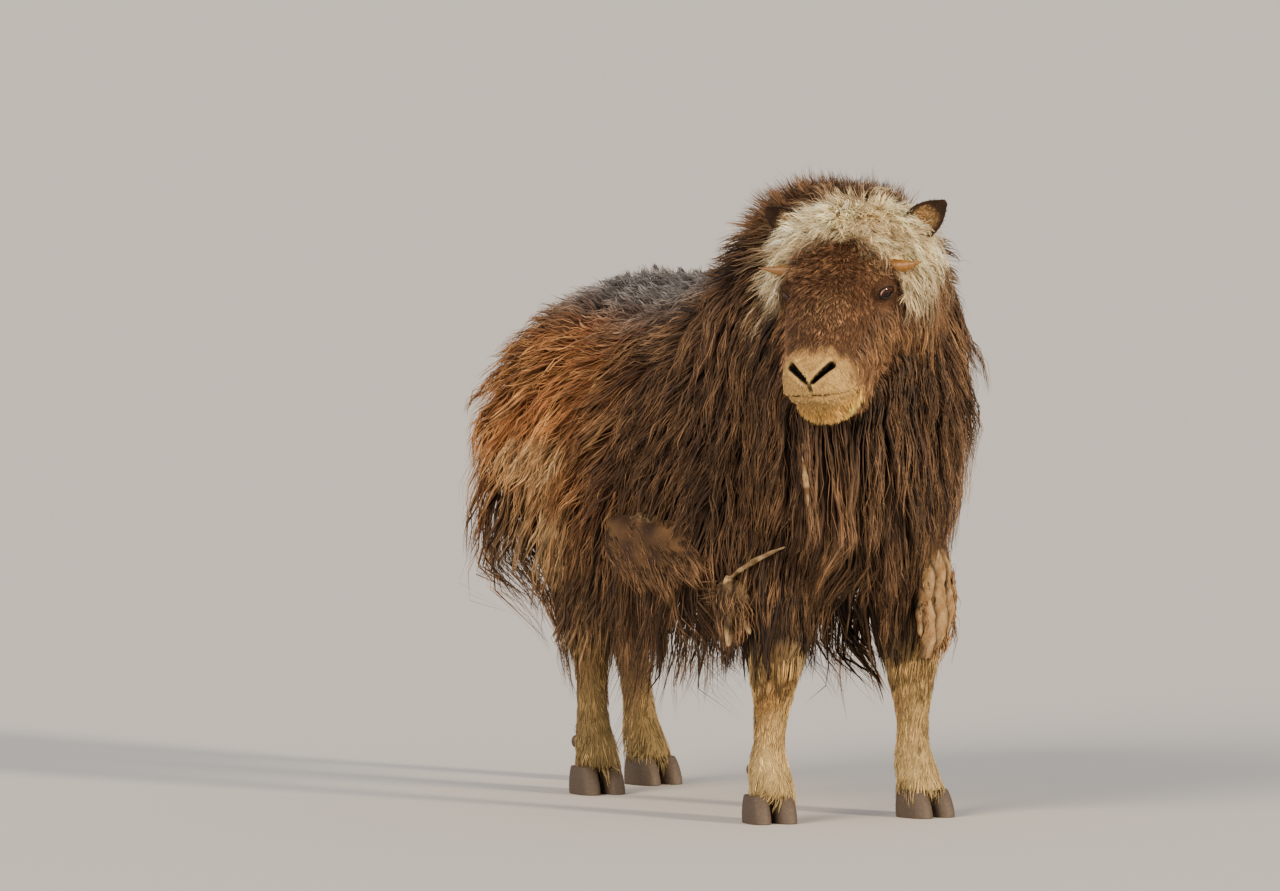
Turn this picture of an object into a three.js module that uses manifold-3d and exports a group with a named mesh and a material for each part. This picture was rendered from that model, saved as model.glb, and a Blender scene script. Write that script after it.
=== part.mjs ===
// A young muskox, about a year old and shedding, as a still, life-size museum model: it stands on its
// four feet with its head turned to its right. Millimetres, +Z up. It faces -Y and its left is +X.
import * as THREE from 'three';
import { mergeVertices } from 'three/addons/utils/BufferGeometryUtils.js';
import Module from 'manifold-3d';

const wasm = await Module();
wasm.setup();

// Driving dimensions. The tables below are in thousandths of the height.
const HEIGHT = 1000; // floor to the hump, the longest hairs aside
const UNIT = HEIGHT / 1000;
const GAP = 0.3; // between two nodes that touch
const CORE = 0.45; // how far the coat's solid core reaches towards the tips

const vec = (x, y, z) => new THREE.Vector3(x, y, z);
const rad = THREE.MathUtils.degToRad;
const lerp = THREE.MathUtils.lerp;
const SIDES = [['left', 1], ['right', -1]];

// The same numbers at every run
let seed = 3;
function random() {
  seed = (seed * 1664525 + 1013904223) % 4294967296;
  return seed / 4294967296;
}
const vary = (share) => 1 + share * (2 * random() - 1);

// Solids and geometries. Every point is put on a fine grid, each on a place of its own, so that a surface
// stays closed when it is moved and nowhere meets itself.

const GRID = 1 / 512;
const NUDGE = 4 * GRID; // to the next free place
const gridded = (x) => Math.round(x / GRID) * GRID;

function solidOf(geometry, matrix) {
  const bare = geometry.index ? geometry.toNonIndexed() : geometry.clone();
  const placed = new THREE.BufferGeometry().setAttribute('position', bare.getAttribute('position'));
  if (matrix) placed.applyMatrix4(matrix);
  const merged = mergeVertices(placed, GRID / 2);
  const corners = merged.index.array;
  const faces = [];
  for (let i = 0; i < corners.length; i += 3) {
    const [a, b, c] = corners.subarray(i, i + 3);
    if (a !== b && b !== c && c !== a) faces.push(a, b, c);
  }
  return new wasm.Manifold(new wasm.Mesh({
    numProp: 3, vertProperties: merged.attributes.position.array, triVerts: new Uint32Array(faces),
  }));
}

function geometryOf(solid) {
  const mesh = solid.getMesh();
  const places = new Float32Array(mesh.numVert * 3);
  const taken = new Set();
  for (let v = 0; v < mesh.numVert; v++) {
    const place = [0, 1, 2].map((k) => gridded(mesh.vertProperties[v * mesh.numProp + k]));
    for (let k = 0; taken.has(place.join()); k = (k + 1) % 3) place[k] += NUDGE;
    taken.add(place.join());
    places.set(place, v * 3);
  }
  const geometry = new THREE.BufferGeometry();
  geometry.setAttribute('position', new THREE.BufferAttribute(places, 3));
  geometry.setIndex(new THREE.BufferAttribute(mesh.triVerts, 1));
  geometry.computeVertexNormals();
  return geometry;
}

// The solid with every face moved out by the gap, to cut room for it in what it stands in
const SETTLE = 30; // rounds in which a corner finds its place out of all its faces
function grown(solid) {
  const geometry = geometryOf(solid);
  const places = geometry.attributes.position;
  const around = [...Array(places.count)].map(() => []);
  const corners = geometry.index.array;
  for (let f = 0; f < corners.length; f += 3) {
    const face = [0, 1, 2].map((k) => vec().fromBufferAttribute(places, corners[f + k]));
    const normal = new THREE.Triangle(...face).getNormal(vec());
    for (let k = 0; k < 3; k++) around[corners[f + k]].push(normal);
  }
  around.forEach((normals, v) => {
    const move = vec(0, 0, 0);
    for (let round = 0; round < SETTLE; round++)
      for (const normal of normals) move.addScaledVector(normal, Math.max(GAP - move.dot(normal), 0));
    places.setXYZ(v, ...vec().fromBufferAttribute(places, v).add(move));
  });
  return solidOf(geometry);
}

const joined = (solids) => wasm.Manifold.union(solids);
// A node's one closed surface, without sealed hollows and loose scraps
const largest = (solid) => solid.decompose().reduce((a, b) => (b.volume() > a.volume() ? b : a));

// A closed skin over rings of points, each end closed by strips across it
function lofted(rings) {
  const count = rings[0].length;
  const end = (rings.length - 1) * count;
  const faces = [];
  for (let i = 0; i < count; i++) {
    const j = (i + 1) % count;
    for (let at = 0; at < end; at += count)
      faces.push(at + i, at + count + i, at + j, at + j, at + count + i, at + count + j);
  }
  for (let i = 0; i < (count - 1) / 2; i++) {
    const [a, b, c, d] = [i, i + 1, count - 2 - i, count - 1 - i];
    if (b < d) faces.push(a, b, d, end + a, end + d, end + b);
    if (b < c) faces.push(b, c, d, end + b, end + d, end + c);
  }
  const geometry = new THREE.BufferGeometry().setFromPoints(rings.flat());
  geometry.setIndex(faces);
  return geometry;
}

// A solid through rings of points, whichever way round they run
function loft(rings, matrix) {
  const made = solidOf(lofted(rings), matrix);
  return made.volume() > 0 ? made : solidOf(lofted(rings.map((ring) => [...ring].reverse())), matrix);
}

function ball(radii, centre, matrix = new THREE.Matrix4(), around = 16, rows = 10) {
  const shape = new THREE.SphereGeometry(1, around, rows);
  const placed = new THREE.Matrix4().makeTranslation(centre);
  return solidOf(shape, matrix.clone().multiply(placed).scale(vec(...radii)));
}

// Value of column k between the rows of a table, on a smooth curve through them
function between(rows, t, k) {
  const at = THREE.MathUtils.clamp(t, 0, 1) * (rows.length - 1);
  const i = Math.min(Math.floor(at), rows.length - 2);
  const pick = (j) => rows[THREE.MathUtils.clamp(j, 0, rows.length - 1)][k];
  const [a, b, c, d] = [pick(i - 1), pick(i), pick(i + 1), pick(i + 2)];
  const f = at - i;
  return b + 0.5 * f * (c - a + f * (2 * a - 5 * b + 4 * c - d + f * (3 * (b - c) + d - a)));
}

const HANG = 0.8; // of a form's half width: how far in the low hair falls
const STATIONS = 30; // where a form is compared with a point
const ON_FORM = 30 * UNIT; // how far past a form's end a point still lies on it
const AXIS = 0.2; // of a form's size: nearer its middle than this no side of it is the nearest

// A form of flesh under a coat. frame(t) gives, for t from 0 to 1 along it, the section's middle, its side
// and up directions, its half width, its reach up and down, and the coat's depth on each of those.
// square: how square the sections are above and below their middle, where 2 is an ellipse.
class Form {
  constructor(frame, square, matrix = new THREE.Matrix4()) {
    this.frame = frame;
    this.square = square;
    this.matrix = matrix;
    this.back = matrix.clone().invert();
  }

  // Point at an angle from the top, in degrees, towards the form's left, at a share of the coat's depth
  point(t, angle, depth) {
    const f = this.frame(t);
    const [s, c] = [Math.sin(rad(angle)), Math.cos(rad(angle))];
    const round = (x) => Math.sign(x) * Math.abs(x) ** (2 / this.square[c > 0 ? 0 : 1]);
    const side = (f.half + depth * f.coatSide) * round(s);
    const rise = c > 0 ? f.over + depth * f.coatOver : f.under + depth * f.coatUnder;
    const p = f.middle.clone().addScaledVector(f.side, side).addScaledVector(f.up, rise * round(c));
    return p.applyMatrix4(this.matrix);
  }

  normal(t, angle) {
    const [step, turn] = [0.02, 4];
    const [low, high] = [Math.max(t - step, 0), Math.min(t + step, 1)];
    const along = this.point(high, angle, CORE).sub(this.point(low, angle, CORE));
    const across = this.point(t, angle + turn, CORE).sub(this.point(t, angle - turn, CORE));
    const n = across.cross(along).normalize();
    const middle = this.frame(t).middle.clone().applyMatrix4(this.matrix);
    return n.dot(this.point(t, angle, CORE).sub(middle)) < 0 ? n.negate() : n;
  }

  solid(rows, around, depth) {
    const rings = [];
    for (let r = 0; r <= rows; r++)
      rings.push([...Array(around)].map((_, i) => this.point(r / rows, (360 * i) / around, depth)));
    return loft(rings);
  }

  // Moves a point to a share of the coat's depth, or leaves it hanging free inside that, and tells which
  // way is out there
  laid(p, share) {
    const local = p.clone().applyMatrix4(this.back);
    let best = { off: Infinity };
    for (let i = 0; i <= STATIONS; i++) {
      const f = this.frame(i / STATIONS);
      const off = Math.abs(local.clone().sub(f.middle).dot(vec().crossVectors(f.side, f.up)));
      if (off < best.off) best = { off, f };
    }
    const { f, off } = best;
    const from = local.clone().sub(f.middle);
    const [s, h] = [from.dot(f.side), from.dot(f.up)];
    const half = f.half + share * f.coatSide;
    const reach = h > 0 ? f.over + share * f.coatOver : f.under + share * f.coatUnder;
    const square = this.square[h > 0 ? 0 : 1];
    const size = (Math.abs(s / half) ** square + Math.abs(h / reach) ** square) ** (1 / square);
    const out = f.side.clone().multiplyScalar(s / half ** 2).addScaledVector(f.up, h / reach ** 2);
    const near = size > AXIS && off < ON_FORM;
    const low = Math.max(1 - Math.min(Math.abs(h / reach), 1) ** square, HANG ** square) ** (1 / square);
    if (near && (size < 1 || h > 0)) local.addScaledVector(from, 1 / size - 1);
    else if (near && Math.abs(s) > half * low) local.addScaledVector(f.side, Math.sign(s) * half * low - s);
    return { p: local.applyMatrix4(this.matrix), out: out.normalize().transformDirection(this.matrix) };
  }
}

// Torso: along, half width, top and bottom of the flesh; depth of the coat at the side and on top, and the
// height of its hem
const TORSO = [
  [-425, 70, 850, 500, 50, 46, 330],
  [-370, 140, 950, 430, 82, 64, 240],
  [-270, 168, 906, 392, 96, 62, 190],
  [-150, 174, 850, 385, 94, 56, 168],
  [-20, 180, 806, 383, 90, 54, 158],
  [110, 184, 796, 388, 90, 54, 166],
  [230, 184, 795, 402, 92, 56, 180],
  [340, 174, 766, 430, 94, 60, 200],
  [425, 146, 706, 465, 92, 64, 225],
  [480, 96, 650, 510, 84, 58, 275],
  [506, 45, 610, 550, 60, 40, 370],
].map((row) => row.map((x) => x * UNIT));
const WIDEST = 0.42; // of the way up the flesh

const torso = new Form((t) => {
  const [y, half, top, bottom, coatSide, coatOver, hem] = TORSO[0].map((_, k) => between(TORSO, t, k));
  const level = lerp(bottom, top, WIDEST);
  return {
    middle: vec(0, y, level), side: vec(1, 0, 0), up: vec(0, 0, 1),
    half, over: top - level, under: level - bottom, coatSide, coatOver, coatUnder: bottom - hem,
  };
}, [2, 3]);

// Neck: place of the section's middle, how far it is turned to the right and how far its foot leans ahead
// in degrees, half width, reach up and down, and the coat's depth on each
const NECK = [
  [0, -215, 690, 0, 0, 156, 160, 240, 70, 60, 130],
  [-4, -335, 708, 12, 4, 156, 240, 235, 92, 56, 200],
  [-40, -412, 742, 28, 10, 130, 192, 205, 88, 56, 230],
  [-75, -468, 775, 42, 18, 104, 130, 165, 64, 42, 205],
  [-100, -502, 793, 49, 26, 78, 66, 125, 30, 20, 160],
  [-116, -524, 800, 49, 30, 40, 26, 70, 14, 10, 120],
];

const neck = new Form((t) => {
  const [x, y, z, turn, lean, ...sizes] = NECK[0].map((_, k) => between(NECK, t, k));
  const [half, over, under, coatSide, coatOver, coatUnder] = sizes.map((size) => size * UNIT);
  const [ahead, tip] = [vec(-Math.sin(rad(turn)), -Math.cos(rad(turn)), 0), rad(lean)];
  return {
    middle: vec(x, y, z).multiplyScalar(UNIT), side: vec(Math.cos(rad(turn)), -Math.sin(rad(turn)), 0),
    up: ahead.multiplyScalar(-Math.sin(tip)).add(vec(0, 0, Math.cos(tip))),
    half, over, under, coatSide, coatOver, coatUnder,
  };
}, [2.1, 2.6]);

// Head: its own frame has the middle of the eye line as origin, -Y along the face to the nose and +Z out
// of the forehead
const EYE_LINE = vec(-120, -550, 841).multiplyScalar(UNIT);
const HEAD_TURN = 49; // to the right, in degrees
const HEAD_DIP = 40; // nose down
const HEAD_TILT = 4.5; // right side down
const headMatrix = new THREE.Matrix4()
  .makeRotationFromEuler(new THREE.Euler(rad(HEAD_DIP), rad(-HEAD_TILT), rad(-HEAD_TURN), 'ZXY'))
  .setPosition(EYE_LINE);

// Skull with the upper muzzle, then the lower jaw: distance ahead of the eyes, half width, top, bottom, and
// the coat's depth at the side, on top and below
const SKULL = [
  [-160, 74, 12, -110, 56, 56, 20],
  [-115, 88, 32, -128, 54, 56, 20],
  [-60, 92, 40, -128, 39, 46, 20],
  [-10, 87, 42, -118, 17, 28, 20],
  [40, 74, 36, -104, 10, 14, 10],
  [90, 64, 28, -92, 8, 8, 6],
  [130, 58, 21, -82, 5, 5, 4],
  [160, 56, 13, -72, 3, 3, 3],
  [182, 52, 2, -62, 3, 3, 3],
  [196, 40, -12, -50, 2, 2, 2],
];
const JAW = [
  [-130, 66, -60, -150, 46, 10, 50],
  [-70, 68, -60, -162, 40, 10, 56],
  [0, 60, -60, -152, 24, 8, 40],
  [60, 50, -56, -136, 12, 5, 24],
  [110, 45, -52, -122, 6, 4, 14],
  [150, 45, -48, -108, 4, 3, 10],
  [178, 40, -44, -98, 3, 2, 7],
  [192, 27, -50, -86, 2, 2, 4],
];

const headForm = (table) => new Form((t) => {
  const row = table[0].map((_, k) => between(table, t, k) * UNIT);
  const [ahead, half, top, bottom, coatSide, coatOver, coatUnder] = row;
  const level = lerp(bottom, top, 0.5);
  return {
    middle: vec(0, -ahead, level), side: vec(1, 0, 0), up: vec(0, 0, 1),
    half, over: top - level, under: level - bottom, coatSide, coatOver, coatUnder,
  };
}, [2.3, 2.3], headMatrix);
const skull = headForm(SKULL);
const jaw = headForm(JAW);

// Eyes: middle of the right-hand one is the mirror of the left; gaze is to the side and ahead
const EYE_RADIUS = 19 * UNIT;
const EYE_PLACE = [71, 2, 5]; // aside, ahead and up in the head's frame
const EYE_AIM = 52; // from straight ahead, in degrees
const LID = 5 * UNIT; // thickness of a lid's rim
const EYE_OPENING = [14 * UNIT, 10.5 * UNIT]; // half width and half height between the lids

function eyeMatrix(side) {
  const place = vec(side * EYE_PLACE[0], EYE_PLACE[1], EYE_PLACE[2]).multiplyScalar(UNIT);
  const turned = new THREE.Matrix4().makeRotationZ(rad(side * EYE_AIM));
  return headMatrix.clone().multiply(turned.setPosition(place));
}

const eye = (side) => ball(Array(3).fill(EYE_RADIUS), vec(0, 0, 0), eyeMatrix(side), 14, 8);

// The flesh round the eye, open between the lids, which are two swept rims
function orbit(side) {
  const around = EYE_RADIUS + 6 * UNIT;
  return ball([around * 1.1, around, around], vec(0, 5 * UNIT, 0), eyeMatrix(side), 10, 6);
}

function opening(side) {
  const [wide, high] = EYE_OPENING;
  return ball([wide, 3 * EYE_RADIUS, high], vec(0, -2.4 * EYE_RADIUS, 0), eyeMatrix(side), 10, 6);
}

function lid(side, up) {
  const [wide, high] = EYE_OPENING;
  const radius = EYE_RADIUS + 2.5 * UNIT;
  const rings = [];
  const steps = 6;
  for (let i = 0; i <= steps; i++) {
    const a = rad(lerp(-8, 188, i / steps));
    const [x, z] = [(wide + LID / 2) * Math.cos(a), up * (high + LID / 2) * Math.sin(a)];
    const middle = vec(x, -Math.sqrt(Math.max(radius ** 2 - x ** 2 - z ** 2, 0)), z);
    const out = middle.clone().normalize();
    const along = vec(-Math.sin(a), 0, up * Math.cos(a));
    const across = vec().crossVectors(out, along).normalize();
    const size = LID * lerp(0.45, 0.62, Math.sin(Math.max(a, 0)) ** 2) * (up > 0 ? 1.15 : 0.9);
    rings.push([0, 90, 180, 270].map((b) => middle.clone()
      .addScaledVector(out, size * Math.cos(rad(b))).addScaledVector(across, size * Math.sin(rad(b)))));
  }
  return loft(rings, eyeMatrix(side));
}

// Nostril: a slit that runs from high outside to the middle of the lip
const NOSTRIL_TOP = [40, 178, 4];
const NOSTRIL_FOOT = [7, 201, -20];
function nostril(side) {
  const [top, foot] = [NOSTRIL_TOP, NOSTRIL_FOOT].map(([x, ahead, z]) =>
    vec(side * x, -ahead, z).multiplyScalar(UNIT));
  const along = foot.clone().sub(top);
  const turned = new THREE.Quaternion().setFromUnitVectors(vec(0, 0, 1), along.clone().normalize());
  const placed = new THREE.Matrix4().compose(top.lerp(foot, 0.5), turned, vec(1, 1, 1));
  const radii = [6 * UNIT, 13 * UNIT, 0.56 * along.length()];
  return ball(radii, vec(0, 0, 0), headMatrix.clone().multiply(placed), 10, 6);
}

// Mouth: a shallow slot round the front of the muzzle, between the lips, that drops towards its corners
const MOUTH = { level: -37, high: 3.5, front: 196, corner: 125, half: 52, deep: 12, drop: 23, flat: 0.5 };
function mouth() {
  const { level, high, front, corner, half, deep, drop, flat } = MOUTH;
  const bow = (grow) => [...Array(13)].map((_, i) => {
    const a = rad(180 * (i / 12));
    const ahead = (front - corner + grow) * Math.sin(a) ** flat;
    return new THREE.Vector2((half + grow) * Math.cos(a), front - corner - ahead).multiplyScalar(UNIT);
  });
  const outline = new THREE.Shape([...bow(18), ...bow(-deep).reverse()]);
  const slot = new THREE.ExtrudeGeometry(outline, { depth: high * UNIT, bevelEnabled: false });
  slot.rotateX(rad(-drop)).translate(0, -front * UNIT, (level - high / 2) * UNIT);
  return solidOf(slot, headMatrix);
}

// Chin and nose pad, rounder than the rows give them
const PADS = [
  { place: [0, 160, -86], radii: [38, 32, 20] },
  { place: [0, 176, -22], radii: [48, 24, 24] },
];
const pad = ({ place: [x, ahead, z], radii }) =>
  ball(radii.map((r) => r * UNIT), vec(x, -ahead, z).multiplyScalar(UNIT), headMatrix, 12, 6);

// Horn: a short spike that leaves the side of the forehead, its radius along it
const HORN = { root: [62, 46, 16], tip: [138, 40, 24], bend: -7, radii: [12, 10.5, 8.5, 5.5, 2.5] };
function horn(side) {
  const { root, tip, bend, radii } = HORN;
  const [from, to] = [root, tip].map(([x, back, z]) => vec(side * x, back, z).multiplyScalar(UNIT));
  const ahead = vec().subVectors(to, from).normalize();
  const up = vec(0, 0, 1).addScaledVector(ahead, -ahead.z).normalize();
  const across = vec().crossVectors(ahead, up);
  const rings = radii.map((radius, i) => {
    const t = i / (radii.length - 1);
    const middle = from.clone().lerp(to, t).addScaledVector(up, bend * UNIT * Math.sin(Math.PI * t));
    return [...Array(10)].map((_, k) => middle.clone()
      .addScaledVector(across, radius * UNIT * Math.cos(rad(36 * k)))
      .addScaledVector(up, radius * UNIT * Math.sin(rad(36 * k))));
  });
  return loft(rings, headMatrix);
}

// Ear: a cupped leaf, open to the front. Rows from root to tip: half width and depth of the cup
const EAR = { root: [84, 118, 8], tip: [152, 154, 43], thick: 6, open: [0.35, -0.75, 0.55] };
const EAR_ROWS = [[17, 7], [25, 13], [27.5, 14], [25, 11], [17, 6], [5, 1]];
function ear(side) {
  const { root, tip, thick } = EAR;
  const [from, to] = [root, tip].map(([x, back, z]) => vec(side * x, back, z).multiplyScalar(UNIT));
  const along = vec().subVectors(to, from).normalize();
  const faced = vec(side * EAR.open[0], EAR.open[1], EAR.open[2]);
  const open = faced.addScaledVector(along, -faced.dot(along)).normalize();
  const across = vec().crossVectors(along, open);
  const rings = EAR_ROWS.map(([half, deep], i) => {
    const middle = from.clone().lerp(to, i / (EAR_ROWS.length - 1));
    const arc = (share, sink) => middle.clone()
      .addScaledVector(across, half * UNIT * share)
      .addScaledVector(open, -sink * UNIT * (1 - share * share));
    const shares = [-1, -0.6, 0, 0.6, 1];
    const inner = shares.map((s) => arc(s, deep));
    const outer = shares.map((s) => arc(s, deep)
      .addScaledVector(open, -thick * UNIT * (1 - 0.5 * Math.abs(s)))).reverse();
    return [...inner, ...outer];
  });
  return loft(rings, headMatrix);
}

// Legs: height, shift ahead, half width, reach ahead and back. Each foot's place is on the floor.
const FORELEG = [
  [440, -10, 52, 60, 70],
  [380, -6, 58, 62, 68],
  [320, 0, 54, 56, 58],
  [265, 4, 44, 46, 43],
  [210, 3, 36, 33, 35],
  [160, 0, 27, 25, 28],
  [118, -2, 26, 25, 30],
  [92, 0, 32, 30, 36],
  [66, 8, 35, 34, 36],
  [44, 14, 41, 42, 38],
];
const HINDLEG = [
  [440, 10, 54, 76, 70],
  [380, 0, 60, 72, 70],
  [330, -10, 54, 58, 58],
  [285, -24, 42, 43, 46],
  [230, -26, 31, 30, 35],
  [165, -16, 26, 24, 28],
  [122, -10, 26, 25, 30],
  [94, -4, 31, 30, 36],
  [66, 6, 34, 34, 34],
  [44, 12, 40, 41, 36],
];
const FEET = {
  foreleg_left: { rows: FORELEG, place: [135, -362], turn: 6 },
  foreleg_right: { rows: FORELEG, place: [-128, -340], turn: -12 },
  hindleg_left: { rows: HINDLEG, place: [78, 392], turn: 6 },
  hindleg_right: { rows: HINDLEG, place: [-88, 275], turn: -6 },
};
const LEAN = 0.06; // how much nearer the middle the leg is at its top, for each unit of height

function leg({ rows, place: [x, y] }) {
  const inward = -Math.sign(x) * LEAN;
  return loft(rows.map(([z, ahead, half, front, back]) => [...Array(12)].map((_, i) => {
    const a = (2 * Math.PI * i) / 12;
    const reach = Math.cos(a) > 0 ? front : back;
    return vec(x + inward * z + half * Math.sin(a), y - ahead - reach * Math.cos(a), z).multiplyScalar(UNIT);
  })));
}

// Hooves: two claws on each foot, flat below, and two dewclaws behind the fetlock
const HOOF = { high: 43.7, half: 19, front: 46, back: 30, apart: 2.5, ahead: 14 };
function claw({ place: [x, y], turn }, side) {
  const { high, half, front, back, apart, ahead } = HOOF;
  const rings = [[0, 1, 1], [0.5, 0.98, 0.95], [1, 0.82, 0.72]].map(([up, wide, long]) =>
    [...Array(12)].map((_, i) => {
      const a = (2 * Math.PI * i) / 12;
      const round = (c) => Math.sign(c) * Math.abs(c) ** 0.8;
      const reach = Math.cos(a) > 0 ? front : back;
      return vec(side * (half + apart) + wide * half * round(Math.sin(a)),
        -ahead - long * reach * round(Math.cos(a)) + 6 * up, high * up).multiplyScalar(UNIT);
    }));
  const placed = new THREE.Matrix4().makeRotationZ(rad(turn)).setPosition(x * UNIT, y * UNIT, 0);
  return loft(rings, placed);
}

const DEWCLAW = { aside: 17, back: 36, level: 84, radii: [9, 10, 13] };
function dewclaw({ place: [x, y], turn }, side) {
  const { aside, back, level, radii } = DEWCLAW;
  const placed = new THREE.Matrix4().makeRotationZ(rad(turn)).setPosition(x * UNIT, y * UNIT, 0);
  const centre = vec(side * aside, back, level).multiplyScalar(UNIT);
  return ball(radii.map((r) => r * UNIT), centre, placed, 8, 4);
}

// Tail: a short taper that hangs close against the rump. Height, distance back, half width of the flesh and
// depth of its hair
const TAIL = [
  [625, 450, 26, 8],
  [600, 482, 27, 14],
  [560, 500, 25, 18],
  [515, 508, 20, 20],
  [472, 508, 10, 18],
].map((row) => row.map((x) => x * UNIT));
const TAIL_SLANT = 20; // of its sections, in degrees

const TAIL_FLAT = 0.8; // thickness of the flesh against its width
const TAIL_UNDER = 0.2; // depth of the hair on the side to the rump against the other sides

const tail = new Form((t) => {
  const [z, y, half, coat] = TAIL[0].map((_, k) => between(TAIL, t, k));
  const [over, coatUnder] = [TAIL_FLAT * half, TAIL_UNDER * coat];
  const up = vec(0, Math.cos(rad(TAIL_SLANT)), Math.sin(rad(TAIL_SLANT)));
  return {
    middle: vec(0, y, z), side: vec(1, 0, 0), up,
    half, over, under: over, coatSide: coat, coatOver: coat, coatUnder,
  };
}, [2, 2]);

// Locks of the long coat: flat and tapered, they leave the core at a low angle, bend down under their weight
// and lie over the coat, out to its full depth at their tips. Widths and thicknesses are shares of the
// lock's own, from root to tip.
const LOCK_WIDTHS = [0.65, 1, 0.82, 0.1];
const LOCK_DEPTHS = [1, 1, 0.75, 0.2];
const ROOT_SINK = 2; // of the thickness, below the core's surface

function lockPath(form, root, lie, { length, thick, rise, weight, reach }) {
  const steps = LOCK_WIDTHS.length - 1;
  const normal = form.normal(root.t, root.angle);
  const flat = lie.clone().addScaledVector(normal, -lie.dot(normal)).normalize();
  const run = flat.multiplyScalar(Math.cos(rad(rise))).addScaledVector(normal, Math.sin(rad(rise)));
  let p = form.point(root.t, root.angle, CORE).addScaledVector(normal, -ROOT_SINK * thick * UNIT);
  const path = [{ p, out: normal, run: run.clone() }];
  for (let k = 1; k <= steps; k++) {
    run.z -= weight / steps;
    run.normalize();
    const next = p.clone().addScaledVector(run, (length * UNIT) / steps);
    const at = form.laid(next, k === 1 ? CORE : lerp(CORE, reach, (k - 1) / (steps - 1)));
    run.copy(at.p).sub(p).normalize();
    path.push({ p: at.p, out: at.out, run: run.clone() });
    p = at.p;
  }
  return path;
}

function lock(form, root, lie, size) {
  const path = lockPath(form, root, lie, size);
  const turn = rad(size.twist);
  const rings = path.map(({ p, out, run }, k) => {
    const across = vec().crossVectors(run, out).normalize();
    const over = vec().crossVectors(across, run).normalize();
    across.applyAxisAngle(run, turn * (k / path.length));
    const half = (size.width / 2) * LOCK_WIDTHS[k] * UNIT;
    const thick = size.thick * LOCK_DEPTHS[k] * UNIT;
    return [p.clone().addScaledVector(across, -half), p.clone().addScaledVector(over, thick),
      p.clone().addScaledVector(across, half)].map((q) => q.addScaledVector(over, -thick * 0.35));
  });
  return loft(rings);
}

// A tier: the roots' angle from the top, where it runs along the form, how many locks to a side, their lie,
// length, width and thickness, how steeply they rise, their weight and the share of the coat they reach
const tierOf = ([angle, from, to, count, lie, length, width, thick, rise, weight, reach]) =>
  ({ angle, from, to, count, lie, length, width, thick, rise, weight, reach });

// Locks in tiers along a form, on both sides, staggered from tier to tier and none quite like the next
const STAGGER = [0.75, 0.25]; // of a lock's share of its tier, in turn
const SCATTER = { along: 0.15, angle: 6, twist: 12.5, aside: 0.16, ahead: 0.16, up: 0.1 };

function coat(form, tiers) {
  const stray = (most) => most * (2 * random() - 1);
  const locks = [];
  tiers.forEach(({ angle, from, to, count, lie, ...size }, tier) => {
    for (const side of angle === 0 ? [1] : [1, -1])
      for (let i = 0; i < count; i++) {
        const t = lerp(from, to, (i + STAGGER[tier % 2] + stray(SCATTER.along)) / count);
        const root = { t, angle: side * (angle + stray(SCATTER.angle)) };
        const astray = vec(stray(SCATTER.aside), stray(SCATTER.ahead), stray(SCATTER.up));
        locks.push(lock(form, root, lie(t, side).add(astray), {
          ...size, length: size.length * vary(0.15), width: size.width * vary(0.12),
          thick: size.thick * vary(0.15), reach: size.reach * vary(0.06), twist: stray(SCATTER.twist),
        }));
      }
  });
  return locks;
}

// The coat's lie on the torso: back over the top, down and back on the flank, straight down at the rear
const flank = (back, down) => (t, side) => vec(side * 0.1, back * (1 - 0.7 * t), -down);
const TORSO_TIERS = [
  [0, 0.08, 0.3, 3, flank(0.9, -0.1), 92, 120, 20, 20, 0.05, 1.05],
  [18, 0.1, 0.93, 7, flank(1, 0.2), 170, 148, 16, 8, 0.2, 0.85],
  [45, 0.1, 0.94, 7, flank(0.8, 0.8), 240, 152, 18, 9, 0.5, 0.85],
  [71, 0.1, 0.94, 7, flank(0.45, 1), 280, 152, 18, 9, 0.9, 0.88],
  [97, 0.1, 0.95, 8, flank(0.3, 1), 280, 142, 18, 10, 1.2, 0.95],
  [121, 0.1, 0.93, 8, flank(0.2, 1), 250, 138, 18, 14, 1.5, 0.95],
].map(tierOf);

// On the neck: a short crest that stands up, then a mane that falls down and back, and a beard below
const mane = (back, down) => (t, side) => vec(0, back, -down);
const NECK_TIERS = [
  [0, 0.12, 0.8, 3, mane(0.8, -0.2), 90, 132, 20, 20, 0.05, 1.05],
  [26, 0.14, 0.7, 3, mane(0.5, 0.2), 130, 124, 18, 16, 0.3, 1],
  [58, 0.12, 0.7, 3, mane(0.4, 1), 230, 124, 18, 9, 0.8, 0.85],
  [90, 0.12, 0.7, 3, mane(0.2, 1), 270, 124, 18, 9, 1, 0.9],
  [118, 0.12, 0.75, 4, mane(0.1, 1), 260, 112, 18, 12, 1.4, 0.95],
  [150, 0.12, 0.8, 3, mane(0, 1), 230, 116, 17, 24, 1.8, 0.95],
].map(tierOf);

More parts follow.
